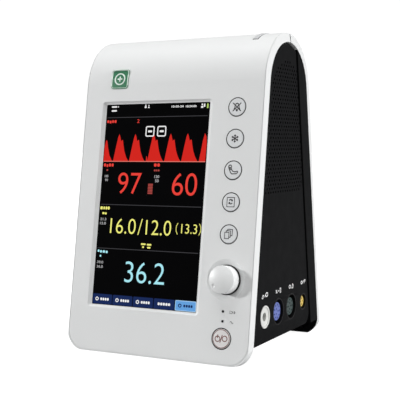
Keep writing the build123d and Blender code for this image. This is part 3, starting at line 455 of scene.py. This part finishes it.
def rounded(x_low, x_high, y_low, y_high, radius, steps=5):
    """Outline of a rectangle with round corners."""
    outline = []
    corners = [(x_high - radius, y_high - radius, 0), (x_low + radius, y_high - radius, 90)]
    corners += [(x_low + radius, y_low + radius, 180), (x_high - radius, y_low + radius, 270)]
    for x, y, start in corners:
        outline += arc(x, y, radius, start, start + 90, steps)
    return outline


BADGE_X, BADGE_UP, BADGE_HALF = -46.8, 210.4, 7.6
badge_green = plastic("badge_green", (0.045, 0.21, 0.105), 0.28, cloud=0.5, grain=400.0,
                      depth=0.00001, dust=0)
badge_pale = plastic("badge_pale", (0.82, 0.94, 0.86), 0.30, cloud=0.05, grain=400.0,
                     depth=0.00001, dust=0)
dress(badge_green, "emblem_badge")

badge_mesh = frame["nodes"]["emblem_badge"]


def lay_on_badge(piece):
    """Bends a flat mark down onto the badge, which follows the start of the crown's curve."""
    bpy.ops.object.select_all(action="DESELECT")
    piece.select_set(True)
    bpy.context.view_layer.objects.active = piece
    bpy.ops.object.mode_set(mode="EDIT")
    for up in range(-7, 8):
        bpy.ops.mesh.select_all(action="SELECT")
        cut_at = on_front(BADGE_X, BADGE_UP + up).to_translation()
        bpy.ops.mesh.bisect(plane_co=cut_at, plane_no=FACE_UP)
    bpy.ops.object.mode_set(mode="OBJECT")
    for vertex in piece.data.vertices:
        over = vertex.co + FACE_OUT * 0.02
        hit, spot, _, _ = badge_mesh.ray_cast(over, -FACE_OUT)
        start_n = (vertex.co - FACE_FOOT).dot(FACE_OUT)
        if hit:
            vertex.co = spot + FACE_OUT * start_n


BORDER = 0.8
inner_half = BADGE_HALF - BORDER
border_outer = rounded(-BADGE_HALF, BADGE_HALF, -BADGE_HALF, BADGE_HALF, 2.1)
border_inner = rounded(-inner_half, inner_half, -inner_half, inner_half, 1.6)
badge_border = cut_shape("badge_border", [border_outer, border_inner[::-1]], 0.16,
                         on_front(BADGE_X, BADGE_UP, 0.05), badge_pale)
RING_HALF, PLUS_HALF = 4.3, 2.1
plus = [[(-PLUS_HALF, 0), (PLUS_HALF, 0)], [(0, -PLUS_HALF), (0, PLUS_HALF)]]
device = [arc(0, 0, RING_HALF, steps=28)] + plus
badge_device = drawn_lines("badge_device", device, 1.15, on_front(BADGE_X, BADGE_UP, 0.04), badge_pale)
for mark in (badge_border, badge_device):
    lay_on_badge(mark)

# ---------------------------------------------------------------- display window and picture
# A hard-coated window over a colour LCD. The picture is lit: it stands a hair in front of the
# pane, so that it reads from every side. Places are measured from the pane's top left corner.
window_black = plastic("window_black", (0.0012, 0.0012, 0.0015), 0.12, cloud=0.3, grain=300.0,
                       depth=0.000004, dust=0, shine=0.05)
dress(window_black, "display_window")


def pixel_rows():
    """The faint raster of an LCD, as slightly darker rows."""
    group = effect_group("pixel_rows", [("Place", "Vector"), ("Colour", "Color")], [("Colour", "Color")])
    given, made = group.nodes["Group Input"].outputs, group.nodes["Group Output"].inputs
    rows = group.nodes.new("ShaderNodeTexWave")
    rows.wave_type, rows.bands_direction = "BANDS", "Z"
    rows.inputs["Scale"].default_value = 700.0
    group.links.new(given["Place"], rows.inputs["Vector"])
    dim = blend_colour(group, 1.0, given["Colour"], (0.84, 0.84, 0.84, 1), "MULTIPLY")
    group.links.new(blend_colour(group, rows.outputs["Fac"], dim, given["Colour"]), made["Colour"])
    return group


PIXEL_ROWS = pixel_rows()


def lit(name, colour, strength=1.0):
    """A lit part of the picture."""
    paint = bpy.data.materials.new(name)
    paint.use_nodes = True
    tree = paint.node_tree
    shader = tree.nodes["Principled BSDF"]
    shader.inputs["Base Color"].default_value = (0.0, 0.0, 0.0, 1)
    shader.inputs["Roughness"].default_value = 0.6
    shader.inputs["Specular IOR Level"].default_value = 0.0
    shader.inputs["Emission Strength"].default_value = strength
    raster = tree.nodes.new("ShaderNodeGroup")
    raster.node_tree = PIXEL_ROWS
    raster.inputs["Colour"].default_value = (*colour, 1)
    place = tree.nodes.new("ShaderNodeTexCoord").outputs["Object"]
    tree.links.new(place, raster.inputs["Place"])
    tree.links.new(raster.outputs["Colour"], shader.inputs["Emission Color"])
    return paint


pulse_red = lit("pulse_red", (0.70, 0.022, 0.016))
pulse_edge = lit("pulse_edge", (0.82, 0.20, 0.16))
digit_red = lit("digit_red", (0.88, 0.060, 0.045))
dull_red = lit("dull_red", (0.42, 0.07, 0.06))
lemon = lit("lemon", (0.95, 0.93, 0.22))
sky = lit("sky", (0.42, 0.86, 0.95))
paper = lit("paper", (0.90, 0.90, 0.90))
rule_grey = lit("rule_grey", (0.055, 0.055, 0.06))
limit_grey = lit("limit_grey", (0.42, 0.42, 0.43))
tab_navy = lit("tab_navy", (0.012, 0.026, 0.105))
tab_blue = lit("tab_blue", (0.14, 0.38, 0.78))
tab_edge = lit("tab_edge", (0.42, 0.66, 0.92))
cell_green = lit("cell_green", (0.50, 0.72, 0.16))

PANE_LEFT, PANE_TOP, PANE_OUT = -58.1, 190.9, -1.9
PICTURE_OUT, PICTURE_THICK = PANE_OUT + 0.06, 0.06


def on_pane(x, down, layer=0):
    """A place on the picture, right of and below the pane's top left corner."""
    return on_front(PANE_LEFT + x, PANE_TOP - down, PICTURE_OUT + 0.07 * layer)


def picture(name, paint, outlines, layer=0):
    """Part of the picture from outlines with x to the right and y downwards."""
    turned = [[(x, -y) for x, y in outline] for outline in outlines]
    return cut_shape(name, turned, PICTURE_THICK, on_pane(0, 0, layer), paint)


def bars(name, paint, places, height, layer=0):
    """Short rounded bars that stand for words. places are (x, end x, middle down)."""
    half, round_off = height / 2, height * 0.3
    outlines = [rounded(x, end, down - half, down + half, round_off, 2) for x, end, down in places]
    return picture(name, paint, outlines, layer)


def figures(name, text, x, end, top, bottom, paint, slim=0.0):
    """Digits stretched to fill a box on the picture."""
    bpy.ops.object.select_all(action="DESELECT")
    bpy.ops.object.text_add(location=(0, 0, 0))
    digits = bpy.context.object
    digits.name = name
    digits.data.body = text
    digits.data.size = 1.0
    digits.data.resolution_u = 5
    digits.data.offset = slim
    bpy.ops.object.convert(target="MESH")
    digits = bpy.context.object
    xs = [vertex.co.x for vertex in digits.data.vertices]
    ys = [vertex.co.y for vertex in digits.data.vertices]
    wide, tall = max(xs) - min(xs), max(ys) - min(ys)
    fit = Matrix.Diagonal(((end - x) * MM / wide, (bottom - top) * MM / tall, MM, 1))
    fit = fit @ Matrix.Translation((-min(xs), -min(ys), 0))
    digits.data.transform(fit)
    bpy.ops.object.mode_set(mode="EDIT")
    bpy.ops.mesh.select_all(action="SELECT")
    bpy.ops.mesh.extrude_region_move(TRANSFORM_OT_translate={"value": (0, 0, PICTURE_THICK * MM)})
    bpy.ops.object.mode_set(mode="OBJECT")
    return settle(digits, on_pane(x, bottom), paint)


# status row: two short lines, a pair of figures, date and time, and the battery
bars("status_lines", paper, [(4.5, 9.4, 1.9), (10.2, 10.9, 1.9), (4.6, 9.3, 5.0)], 1.2)
picture("status_figures", paper, [
    arc(35.2, 1.2, 0.6, steps=8), rounded(34.3, 36.1, 2.0, 3.4, 0.4, 2),
    arc(38.0, 1.4, 0.5, steps=8), [(37.1, 3.4), (38.0, 1.9), (38.9, 3.4)],
])
figures("status_date", "10-05-24", 58.0, 68.3, 2.0, 3.6, paper, 0.02)
figures("status_time", "10:24:00", 70.2, 79.2, 2.1, 3.7, paper, 0.02)
picture("status_people", paper, [
    arc(84.0, 1.8, 0.7, steps=8), rounded(83.0, 85.0, 2.9, 4.4, 0.5, 2),
    rounded(85.3, 86.5, 1.2, 3.6, 0.3, 2),
])
picture("status_battery", cell_green, [
    rounded(88.0, 89.2, 1.4, 4.6, 0.2, 2), rounded(88.3, 88.9, 0.9, 1.3, 0.1, 2),
])
for number, down in enumerate((10.3, 78.2, 112.0)):
    picture(f"rule_{number}", rule_grey, [rounded(1.2, 89.0, down - 0.25, down + 0.25, 0.1, 2)])

# pulse wave: filled red beats on a pale baseline
BASELINE = 44.4
BEAT = [(-4.1, 0), (-3.2, 5.5), (-2.2, 11.5), (-0.9, 18.6), (0, 21.0), (0.8, 19.4), (2.0, 15.4),
        (2.9, 16.4), (3.6, 16.2), (4.3, 12.6), (5.6, 7.6), (7.4, 3.4), (9.6, 0)]
FULL_BEATS = (13.4, 27.9, 44.2, 59.0, 73.5)
for number, peak in enumerate(FULL_BEATS):
    picture(f"beat_{number}", pulse_red, [[(peak + x, BASELINE - y) for x, y in BEAT]])
picture("beat_first", pulse_red, [[
    (0.4, BASELINE), (0.6, 33.0), (1.6, 28.2), (2.6, 28.4), (3.6, 33.2), (5.6, 40.0), (8.4, BASELINE),
]])
picture("beat_last", pulse_red, [[
    (84.2, BASELINE), (85.4, 37.2), (86.6, 28.6), (87.9, 23.4), (89.2, 25.6), (89.8, 30.0), (89.6, BASELINE),
]])
picture("beat_start", pulse_red, [[(38.8, BASELINE), (39.0, 40.6), (39.4, 40.4), (40.4, BASELINE)]])
picture("wave_baseline", pulse_edge, [rounded(0.5, 89.6, BASELINE - 0.1, BASELINE + 0.5, 0.1, 2)], 1)

# two framed bars that stand for a notice over the wave
FRAME_TOP, FRAME_FOOT, FRAME_WIDTH, FRAME_LINE = 17.4, 25.6, 7.8, 0.9
for number, left in enumerate((36.8, 47.0)):
    right = left + FRAME_WIDTH
    outer = rounded(left, right, FRAME_TOP, FRAME_FOOT, 1.4, 3)
    inner = rounded(left + FRAME_LINE, right - FRAME_LINE, FRAME_TOP + FRAME_LINE,
                    FRAME_FOOT - FRAME_LINE, 0.7, 3)
    picture(f"wave_frame_{number}", paper, [outer, inner[::-1]], 1)
    bars(f"wave_bar_{number}", paper, [(left + 2.1, right - 2.1, (FRAME_TOP + FRAME_FOOT) / 2)], 1.5, 1)

# one block for each reading: a name, its unit, two limits and the large figures
bars("wave_name", digit_red, [(1.2, 3.0, 13.4), (3.5, 5.2, 13.8), (5.7, 7.4, 13.4), (7.9, 9.8, 13.4)], 2.2)
figures("wave_gain", "2", 28.6, 30.6, 12.0, 14.8, digit_red)
bars("oxygen_name", digit_red, [(1.2, 3.2, 47.5), (3.7, 5.2, 48.0), (5.7, 7.8, 47.5), (8.3, 10.2, 47.5)], 2.4)
bars("oxygen_unit", dull_red, [(4.0, 5.4, 51.4)], 1.4)
figures("oxygen_high", "100", 2.8, 6.0, 55.2, 57.2, limit_grey, 0.02)
figures("oxygen_low", "90", 3.3, 6.0, 58.2, 60.2, limit_grey, 0.02)
figures("oxygen_figures", "97", 15.4, 36.2, 53.3, 69.6, digit_red, -0.006)
bars("signal_bar", dull_red, [(42.4, 46.6, 62.0 + 1.15 * step) for step in range(7)], 0.85)
bars("pulse_name", digit_red, [(46.3, 48.6, 47.3), (49.2, 51.4, 47.3)], 2.4)
bars("pulse_unit", dull_red, [(46.6, 48.0, 51.4), (48.4, 49.6, 51.4), (50.0, 51.4, 51.4)], 1.4)
figures("pulse_high", "120", 47.4, 51.6, 55.0, 57.2, limit_grey, 0.02)
figures("pulse_low", "50", 48.2, 51.4, 58.2, 60.4, limit_grey, 0.02)
figures("pulse_figures", "60", 63.2, 84.2, 53.2, 70.0, digit_red, -0.006)

bars("pressure_name", lemon, [(1.0, 3.2, 81.0), (3.8, 5.2, 81.0), (5.8, 7.4, 81.0), (7.8, 9.6, 81.0)], 2.4)
bars("pressure_unit", lemon, [(3.2, 5.2, 85.0), (5.6, 7.2, 85.2)], 1.6)
figures("pressure_high", "21.3", 1.8, 7.2, 88.6, 90.6, limit_grey, 0.02)
figures("pressure_low", "12.0", 1.8, 7.2, 91.8, 93.8, limit_grey, 0.02)
figures("pressure_upper", "16.0", 11.4, 34.2, 88.6, 100.2, lemon, -0.008)
picture("pressure_stroke", lemon, [[(36.2, 100.6), (37.0, 100.6), (40.0, 88.4), (39.2, 88.4)]])
figures("pressure_lower", "12.0", 43.2, 65.0, 89.0, 100.2, lemon, -0.008)
figures("pressure_mean", "13.3", 73.6, 86.8, 91.0, 98.0, lemon, -0.004)
drawn_lines("pressure_brackets", [
    [(70.6, -90.4), (69.4, -92.6), (69.2, -94.6), (69.4, -96.6), (70.6, -98.8)],
    [(88.4, -90.4), (89.6, -92.6), (89.8, -94.6), (89.6, -96.6), (88.4, -98.8)],
], 0.5, on_pane(0, 0), lemon)
bars("pressure_note", lemon, [
    (40.0, 44.0, 107.4), (41.2, 42.8, 109.6), (45.2, 49.0, 107.6), (45.6, 48.4, 109.8),
], 1.3)

bars("warmth_name", sky, [(1.6, 3.2, 114.2), (3.8, 5.6, 114.6), (6.2, 8.4, 114.6), (9.0, 10.8, 114.8)], 1.9)
bars("warmth_unit", sky, [(3.8, 5.2, 118.0)], 1.5)
figures("warmth_high", "39.0", 1.8, 7.4, 121.8, 123.8, limit_grey, 0.02)
figures("warmth_low", "36.0", 1.8, 7.4, 125.2, 127.2, limit_grey, 0.02)
figures("warmth_figures", "36.2", 27.6, 62.2, 121.0, 136.8, sky, -0.008)

# five soft keys along the foot, the last one lit and the fourth without an icon
TAB_TOP, TAB_FOOT, TAB_PITCH, TAB_WIDTH, TAB_LINE = 147.0, 154.6, 18.1, 17.4, 0.5
TAB_COUNT, TAB_WITHOUT_ICON = 5, 3
middle = (TAB_TOP + TAB_FOOT) / 2
for number in range(TAB_COUNT):
    left = TAB_LINE + number * TAB_PITCH
    right = left + TAB_WIDTH
    last = number == TAB_COUNT - 1
    whole = rounded(left, right, TAB_TOP, TAB_FOOT, 0.8, 3)
    if last:
        inside = rounded(left + TAB_LINE, right - TAB_LINE, TAB_TOP + TAB_LINE, TAB_FOOT - TAB_LINE, 0.6, 3)
        picture("tab_edge", tab_edge, [whole])
        picture(f"tab_{number}", tab_blue, [inside], 1)
    else:
        picture(f"tab_{number}", tab_navy, [whole])
    ink = tab_navy if last else paper
    if number != TAB_WITHOUT_ICON:
        outer = arc(left + 4.0, middle, 1.5, steps=10)[:-1]
        inner = arc(left + 4.0, middle, 0.8, steps=10)[:-1]
        picture(f"tab_icon_{number}", ink, [outer, inner[::-1]], 2)
        words = [(left + 7.0 + 2.0 * step, left + 8.6 + 2.0 * step, middle) for step in range(4)]
    else:
        words = [(left + 3.4 + 2.2 * step, left + 5.2 + 2.2 * step, middle) for step in range(5)]
    bars(f"tab_words_{number}", ink, words, 2.0, 2)

# ---------------------------------------------------------------- keys
# Five round keys and the power key, in the shell's plastic but a shade cooler. Each has its
# picture printed on the crown in dark ink, and rides with its own key.
key_plastic = plastic("key_plastic", (0.74, 0.755, 0.765), 0.42, cloud=0.03, dust=0.03)
power_plastic = plastic("power_plastic", (0.78, 0.755, 0.75), 0.42, cloud=0.03, dust=0.03)
key_ink = plastic("key_ink", (0.018, 0.018, 0.020), 0.5, cloud=0.2, dust=0.0)
power_ink = plastic("power_ink", (0.17, 0.050, 0.038), 0.5, cloud=0.2, dust=0.0)
dress(key_plastic, "mute_key", "freeze_key", "cuff_key", "print_key", "menu_key")
dress(power_plastic, "power_key")

KEY_X, KEY_OUT = 55.5, 0.4
KEY_UP = {"mute_key": 186.1, "freeze_key": 163.0, "cuff_key": 139.9, "print_key": 116.8, "menu_key": 93.7}
bell = [(-2.2, -1.5), (-1.6, -0.7), (-1.3, 1.1), (-0.7, 2.1), (0, 2.5), (0.7, 2.1), (1.3, 1.1), (1.6, -0.7),
        (2.2, -1.5), (-2.2, -1.5)]
flake = [[(2.6 * cos(radians(a)), 2.6 * sin(radians(a))), (-2.6 * cos(radians(a)), -2.6 * sin(radians(a)))]
         for a in (30, 90, 150)]
flake_tips = []
for a in range(30, 390, 60):
    tip = Vector((1.5 * cos(radians(a)), 1.5 * sin(radians(a))))
    for b in (a - 40, a + 40):
        flake_tips.append([tuple(tip), (tip.x + 0.9 * cos(radians(b)), tip.y + 0.9 * sin(radians(b)))])
KEY_PICTURES = {
    "mute_key": [bell, arc(0, -2.3, 0.4, steps=8), [(-2.9, 2.7), (2.9, -2.7)], [(2.9, 2.7), (-2.9, -2.7)]],
    "freeze_key": flake + flake_tips,
    "cuff_key": [
        [(-3.1, 2.6), (-2.6, 3.3), (-1.6, 3.3), (-1.1, 2.6), (-1.3, 1.2), (-0.2, -0.6), (1.6, -1.0),
         (3.3, -0.6), (3.5, -1.3), (2.6, -2.2), (-0.6, -2.4), (-1.6, -1.4), (-2.9, 1.4), (-3.1, 2.6)],
        [(-3.0, 2.0), (-1.2, 1.4)], [(-2.6, 1.0), (-0.9, 0.4)],
    ],
    "print_key": [
        [(-2.6, -3.0), (2.6, -3.0), (2.6, 3.0), (-2.6, 3.0), (-2.6, -3.0)],
        arc(0, 0.4, 1.3, 20, 150, 8), arc(0, 0.2, 1.3, 200, 330, 8), [(1.2, 1.7), (1.2, 0.8), (0.4, 0.9)],
        [(-1.2, -1.2), (-1.2, -0.2), (-0.4, -0.3)],
    ],
    "menu_key": [
        [(-2.8, -2.8), (0.2, -2.8), (0.2, 1.2), (-2.8, 1.2), (-2.8, -2.8)],
        [(-1.8, 1.2), (-1.8, 2.2), (1.3, 2.2), (1.3, -1.8), (0.2, -1.8)],
        [(-0.8, 2.2), (-0.8, 3.2), (2.5, 3.2), (2.5, -0.8), (1.3, -0.8)],
    ],
}
PICTURE_SCALE, PICTURE_LINE = 1.12, 0.78
for key, lines in KEY_PICTURES.items():
    larger = [[(x * PICTURE_SCALE, y * PICTURE_SCALE) for x, y in line] for line in lines]
    drawn_lines(key + "_picture", larger, PICTURE_LINE, on_front(KEY_X, KEY_UP[key], KEY_OUT), key_ink,
                key)

POWER_X, POWER_UP, POWER_HALF = 55.0, 19.4, 7.05
KEY_HALF, KEY_RIM, SHADE_RING_OUT, SHADE_RING_THICK, SHADE_RING_PLAY = 6.45, 0.74, -0.02, 0.12, 0.06


def shade_ring(name, x, up, out, inner, outer):
    """A thin black ring laid in the gap round a key or the knob, as painted shade for the dark gap."""
    rings = [arc(0, 0, outer, steps=48)[:-1], arc(0, 0, inner, steps=48)[:-1][::-1]]
    return cut_shape(name, rings, SHADE_RING_THICK, on_front(x, up, out), rubber)


# black rings in the gaps round the keys: painted shade
for key, up in KEY_UP.items():
    shade_ring(key + "_ring", KEY_X, up, SHADE_RING_OUT, KEY_HALF + SHADE_RING_PLAY, KEY_HALF + KEY_RIM)
shade_ring("power_key_dust_ring", POWER_X, POWER_UP, SHADE_RING_OUT, POWER_HALF + SHADE_RING_PLAY, POWER_HALF + KEY_RIM)
power_lines = [arc(-2.8, -0.2, 1.9), arc(2.8, 0.2, 1.9)]
power_lines += [[(-0.8, -2.7), (0.8, 2.7)], [(-2.8, 0.4), (-2.8, 2.8)]]
drawn_lines("power_key_picture", power_lines, 0.66, on_front(POWER_X, POWER_UP, KEY_OUT), power_ink,
            "power_key")
drawn_lines("power_key_ring", [arc(0, 0, POWER_HALF - 0.6, steps=40)], 0.5,
            on_front(POWER_X, POWER_UP, KEY_OUT), power_ink, "power_key")

# ---------------------------------------------------------------- knob
# The control knob is turned and pressed. Its cap is satin plastic with a small finger dimple.
knob_plastic = plastic("knob_plastic", (0.78, 0.79, 0.79), 0.36, cloud=0.03, dust=0.03)
dress(knob_plastic, "control_knob")
KNOB_UP, KNOB_HALF, WELL_HALF, KNOB_RING_OUT = 61.2, 10.1, 10.9, -1.95
# a black ring down in the gap round the knob: painted shade
shade_ring("knob_ring", KEY_X, KNOB_UP, KNOB_RING_OUT, KNOB_HALF + SHADE_RING_PLAY, WELL_HALF)

# the skirt is white like the cap down to the ring, and below it is painted near-black: painted shadow for the
# dark gap round the knob's base
SHADE_TOP = -0.35
skirt_paint = plastic("skirt_plastic", (0.78, 0.79, 0.79), 0.36, cloud=0.03, dust=0.03)
skirt_tree = skirt_paint.node_tree
height = skirt_tree.nodes.new("ShaderNodeVectorMath")
height.operation = "DOT_PRODUCT"
height.inputs[1].default_value = FACE_OUT
shade_edge = FACE_FOOT.dot(FACE_OUT) + SHADE_TOP * MM
step = skirt_tree.nodes.new("ShaderNodeMath")
step.operation = "GREATER_THAN"
step.inputs[1].default_value = shade_edge
painted_shade_split = skirt_tree.nodes.new("ShaderNodeMix")
painted_shade_split.data_type = "RGBA"
painted_shade_split.inputs["A"].default_value = (0.014, 0.014, 0.014, 1)
painted_shade_split.inputs["B"].default_value = (0.78, 0.79, 0.79, 1)
skirt_groups = [node for node in skirt_tree.nodes if node.type == "GROUP"]
skirt_skin = next(node for node in skirt_groups if node.node_tree == MOULDED_SKIN)
skirt_place = next(node for node in skirt_tree.nodes if node.type == "TEX_COORD")
skirt_tree.links.new(skirt_place.outputs["Object"], height.inputs[0])
skirt_tree.links.new(height.outputs["Value"], step.inputs[0])
skirt_tree.links.new(step.outputs[0], painted_shade_split.inputs["Factor"])
skirt_tree.links.new(painted_shade_split.outputs["Result"], skirt_skin.inputs["Colour"])
dress(skirt_paint, "knob_skirt")

# ---------------------------------------------------------------- status lamps
# Two smoked light pipes bring the lamps to the face, each with a small printed sign beside it.
smoked = plastic("smoked_pipe", (0.010, 0.010, 0.012), 0.15, cloud=0.2, grain=300.0,
                 depth=0.000004, dust=0)
dress(smoked, "led_light_pipes")
SIGN_X, BATTERY_SIGN_UP, MAINS_SIGN_UP = 62.2, 38.5, 31.5
drawn_lines("battery_sign", [
    [(-1.9, -0.8), (0.0, -0.8), (0.0, 0.8), (-1.9, 0.8), (-1.9, -0.8)], [(0.3, -0.3), (0.3, 0.3)],
    arc(1.4, 0.0, 0.8, -80, 80, 6), [(1.4, -0.8), (1.4, 0.8)],
], 0.42, on_front(SIGN_X, BATTERY_SIGN_UP, 0.0), key_ink)
drawn_lines("mains_sign", [
    arc(-0.6, 0.0, 0.6, 180, 0, 6) + arc(0.6, 0.0, 0.6, 180, 360, 6),
], 0.42, on_front(SIGN_X, MAINS_SIGN_UP, 0.0), key_ink)

# ---------------------------------------------------------------- alarm light bar
# A frosted polycarbonate bar that lies over the crown, unlit.
frosted = plastic("frosted_bar", (0.62, 0.63, 0.64), 0.30, cloud=0.04, grain=700.0,
                  depth=0.00001, dust=0.05)
dress(frosted, "alarm_light_bar")

# ---------------------------------------------------------------- patient ports
# Four ports in the right side: a white air socket, two large round sockets with blue and green
# contact blocks and a small yellow one, each in a black cup. White signs are printed above.
socket_white = plastic("socket_white", (0.73, 0.735, 0.71), 0.40, cloud=0.08, dust=0.02)
cup_black = plastic("cup_black", (0.0045, 0.0045, 0.005), 0.42, cloud=0.2, dust=0.0, shine=0.2)
contact_blue = plastic("contact_blue", (0.135, 0.180, 0.50), 0.38, cloud=0.5, grain=1500.0,
                       depth=0.00004, dust=0)
contact_green = plastic("contact_green", (0.032, 0.055, 0.053), 0.38, cloud=0.6, grain=1500.0,
                        depth=0.00004, dust=0)
contact_yellow = plastic("contact_yellow", (0.74, 0.54, 0.13), 0.38, cloud=0.3, grain=1500.0,
                         depth=0.00004, dust=0)
dress(socket_white, "nibp_socket")
dress(cup_black, "spo2_cup", "ecg_cup", "temp_cup")
dress(contact_blue, "spo2_insert")
dress(contact_green, "ecg_insert")
dress(contact_yellow, "temp_insert")

side_ink = plastic("side_ink", (0.90, 0.90, 0.90), 0.5, cloud=0.15, dust=0.0)
panel_low, panel_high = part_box("right_side_panel")


def on_side(y, z):
    """A place on the right side panel's outer face, with x to the rear and y up."""
    turn = Matrix((Vector((0, 1, 0)), Vector((0, 0, 1)), Vector((1, 0, 0)))).transposed().to_4x4()
    return Matrix.Translation((panel_high.x, y, z)) @ turn


def port_middle(node):
    """Middle of a port along the panel, in metres."""
    low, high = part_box(node)
    return (low.y + high.y) / 2


SIGN_Z = 47.3 * MM
SIDE_SIGNS = {
    "nibp_socket": [[(-4.2, -1.2), (-2.6, 0.8), (-1.4, 0.2), (-2.8, -1.6), (-4.2, -1.2)],
                    [(-0.2, -1.2), (0.6, 0.6)], arc(2.4, 0.4, 1.4, steps=10)],
    "spo2_insert": [[(-3.6, -1.4), (-2.2, 1.2)], [(-3.8, 1.0), (-1.8, -1.2)], [(-0.6, 0), (0.6, 0)],
                    [(2.0, -1.6), (3.2, -1.6), (3.2, 1.6), (2.0, 1.6), (2.0, -1.6)]],
    "ecg_insert": [arc(-2.2, 0, 1.2, steps=10),
                   [(0.4, -1.6), (1.4, 0.4), (2.0, 1.6), (3.0, 0.4), (2.4, -1.6), (0.4, -1.6)]],
    "temp_insert": [arc(-2.4, 0, 1.1, steps=10), [(-0.6, -1.0), (0.6, 1.2)],
                    [(1.8, -1.2), (1.8, 1.4), (3.2, 1.4), (3.2, 0.2), (1.8, 0.2)]],
}
SIGN_WIDEN, SIGN_LINE = 1.35, 0.9
for node, lines in SIDE_SIGNS.items():
    wider = [[(x * SIGN_WIDEN, y) for x, y in line] for line in lines]
    drawn_lines(node + "_sign", wider, SIGN_LINE, on_side(port_middle(node), SIGN_Z), side_ink)

# ---------------------------------------------------------------- metal parts
# Pressed steel brackets and spacers, nickel-plated screws and pins, and brass inserts, all with
# the fine streaks of rolling or turning.
def worked_metal():
    """Streaks of rolling or turning, in colour, gloss and height."""
    takes = [("Place", "Vector"), ("Colour", "Color"), ("Gloss", "Float")]
    gives = [("Colour", "Color"), ("Gloss", "Float"), ("Height", "Float")]
    group = effect_group("worked_metal", takes, gives)
    given, made = group.nodes["Group Input"].outputs, group.nodes["Group Output"].inputs
    stretch = group.nodes.new("ShaderNodeVectorMath")
    stretch.operation = "MULTIPLY"
    stretch.inputs[1].default_value = (1.0, 14.0, 14.0)
    group.links.new(given["Place"], stretch.inputs[0])
    streak = noise(group, stretch.outputs[0], 180.0, 3.0)
    dark = blend_colour(group, 1.0, given["Colour"], (0.72, 0.72, 0.72, 1), "MULTIPLY")
    group.links.new(blend_colour(group, streak, dark, given["Colour"]), made["Colour"])
    group.links.new(sums(group, "ADD", given["Gloss"], sums(group, "MULTIPLY", streak, 0.2)), made["Gloss"])
    group.links.new(streak, made["Height"])
    return group


WORKED_METAL = worked_metal()


def metal(name, colour, gloss):
    """A bare or plated metal."""
    paint = bpy.data.materials.new(name)
    paint.use_nodes = True
    tree = paint.node_tree
    shader = tree.nodes["Principled BSDF"]
    shader.inputs["Metallic"].default_value = 1.0
    skin = tree.nodes.new("ShaderNodeGroup")
    skin.node_tree = WORKED_METAL
    skin.inputs["Colour"].default_value = (*colour, 1)
    skin.inputs["Gloss"].default_value = gloss
    bump = tree.nodes.new("ShaderNodeBump")
    bump.inputs["Strength"].default_value = 0.3
    bump.inputs["Distance"].default_value = 0.00002
    place = tree.nodes.new("ShaderNodeTexCoord").outputs["Object"]
    tree.links.new(place, skin.inputs["Place"])
    tree.links.new(skin.outputs["Colour"], shader.inputs["Base Color"])
    tree.links.new(skin.outputs["Gloss"], shader.inputs["Roughness"])
    tree.links.new(skin.outputs["Height"], bump.inputs["Height"])
    tree.links.new(bump.outputs["Normal"], shader.inputs["Normal"])
    return paint


sheet_steel = metal("sheet_steel", (0.56, 0.57, 0.58), 0.38)
plated_steel = metal("plated_steel", (0.70, 0.70, 0.69), 0.22)
brass = metal("brass", (0.78, 0.58, 0.27), 0.26)
dress(sheet_steel, "display_bracket", "chassis", "lcd_module")
dress(plated_steel, "front_screws", "door_screws", "rear_screws", "base_screws", "inlet_pins",
      "encoder_shaft", "encoder_nut", "ground_stud")
dress(brass, "base_inserts", "board_spacers", "chassis_spacers", "rear_spacers", "nibp_valve")

# ---------------------------------------------------------------- circuit boards
# Glass-fibre boards under green solder mask, with paler tracks that run in two directions.
def copper_tracks():
    """Solder mask with the tracks showing through it."""
    group = effect_group("copper_tracks", [("Place", "Vector"), ("Mask", "Color"), ("Track", "Color")],
                         [("Colour", "Color"), ("Height", "Float")])
    given, made = group.nodes["Group Input"].outputs, group.nodes["Group Output"].inputs
    cells = group.nodes.new("ShaderNodeTexBrick")
    cells.inputs["Scale"].default_value = 260.0
    cells.inputs["Mortar Size"].default_value = 0.05
    group.links.new(given["Place"], cells.inputs["Vector"])
    group.links.new(blend_colour(group, cells.outputs["Fac"], given["Mask"], given["Track"]), made["Colour"])
    group.links.new(cells.outputs["Fac"], made["Height"])
    return group


board_green = bpy.data.materials.new("board_green")
board_green.use_nodes = True
board_tree = board_green.node_tree
board_skin = board_tree.nodes.new("ShaderNodeGroup")
board_skin.node_tree = copper_tracks()
board_skin.inputs["Mask"].default_value = (0.010, 0.085, 0.035, 1)
board_skin.inputs["Track"].default_value = (0.035, 0.17, 0.075, 1)
board_bump = board_tree.nodes.new("ShaderNodeBump")
board_bump.inputs["Distance"].default_value = 0.00003
board_shader = board_tree.nodes["Principled BSDF"]
board_shader.inputs["Roughness"].default_value = 0.35
board_tree.links.new(board_tree.nodes.new("ShaderNodeTexCoord").outputs["Object"], board_skin.inputs["Place"])
board_tree.links.new(board_skin.outputs["Colour"], board_shader.inputs["Base Color"])
board_tree.links.new(board_skin.outputs["Height"], board_bump.inputs["Height"])
board_tree.links.new(board_bump.outputs["Normal"], board_shader.inputs["Normal"])
dress(board_green, "key_board", "alarm_board", "main_board", "power_board", "measurement_board")

# ---------------------------------------------------------------- other inner parts
# Switches, encoder, pump, speaker, battery, air tube and the mains inlet.
part_black = plastic("part_black", (0.018, 0.018, 0.019), 0.5, cloud=0.2, dust=0.03)
wrap_blue = plastic("wrap_blue", (0.05, 0.11, 0.30), 0.30, cloud=0.1, grain=500.0, dust=0.02)
tube_clear = plastic("tube_clear", (0.66, 0.68, 0.68), 0.25, cloud=0.1, grain=400.0,
                     depth=0.00001, dust=0)
dress(part_black, "key_switches", "encoder_body", "encoder_plunger", "nibp_pump", "speaker",
      "battery_bay", "ac_inlet")
dress(wrap_blue, "battery_pack")
dress(tube_clear, "air_tube")
dress(white_abs, "battery_door")
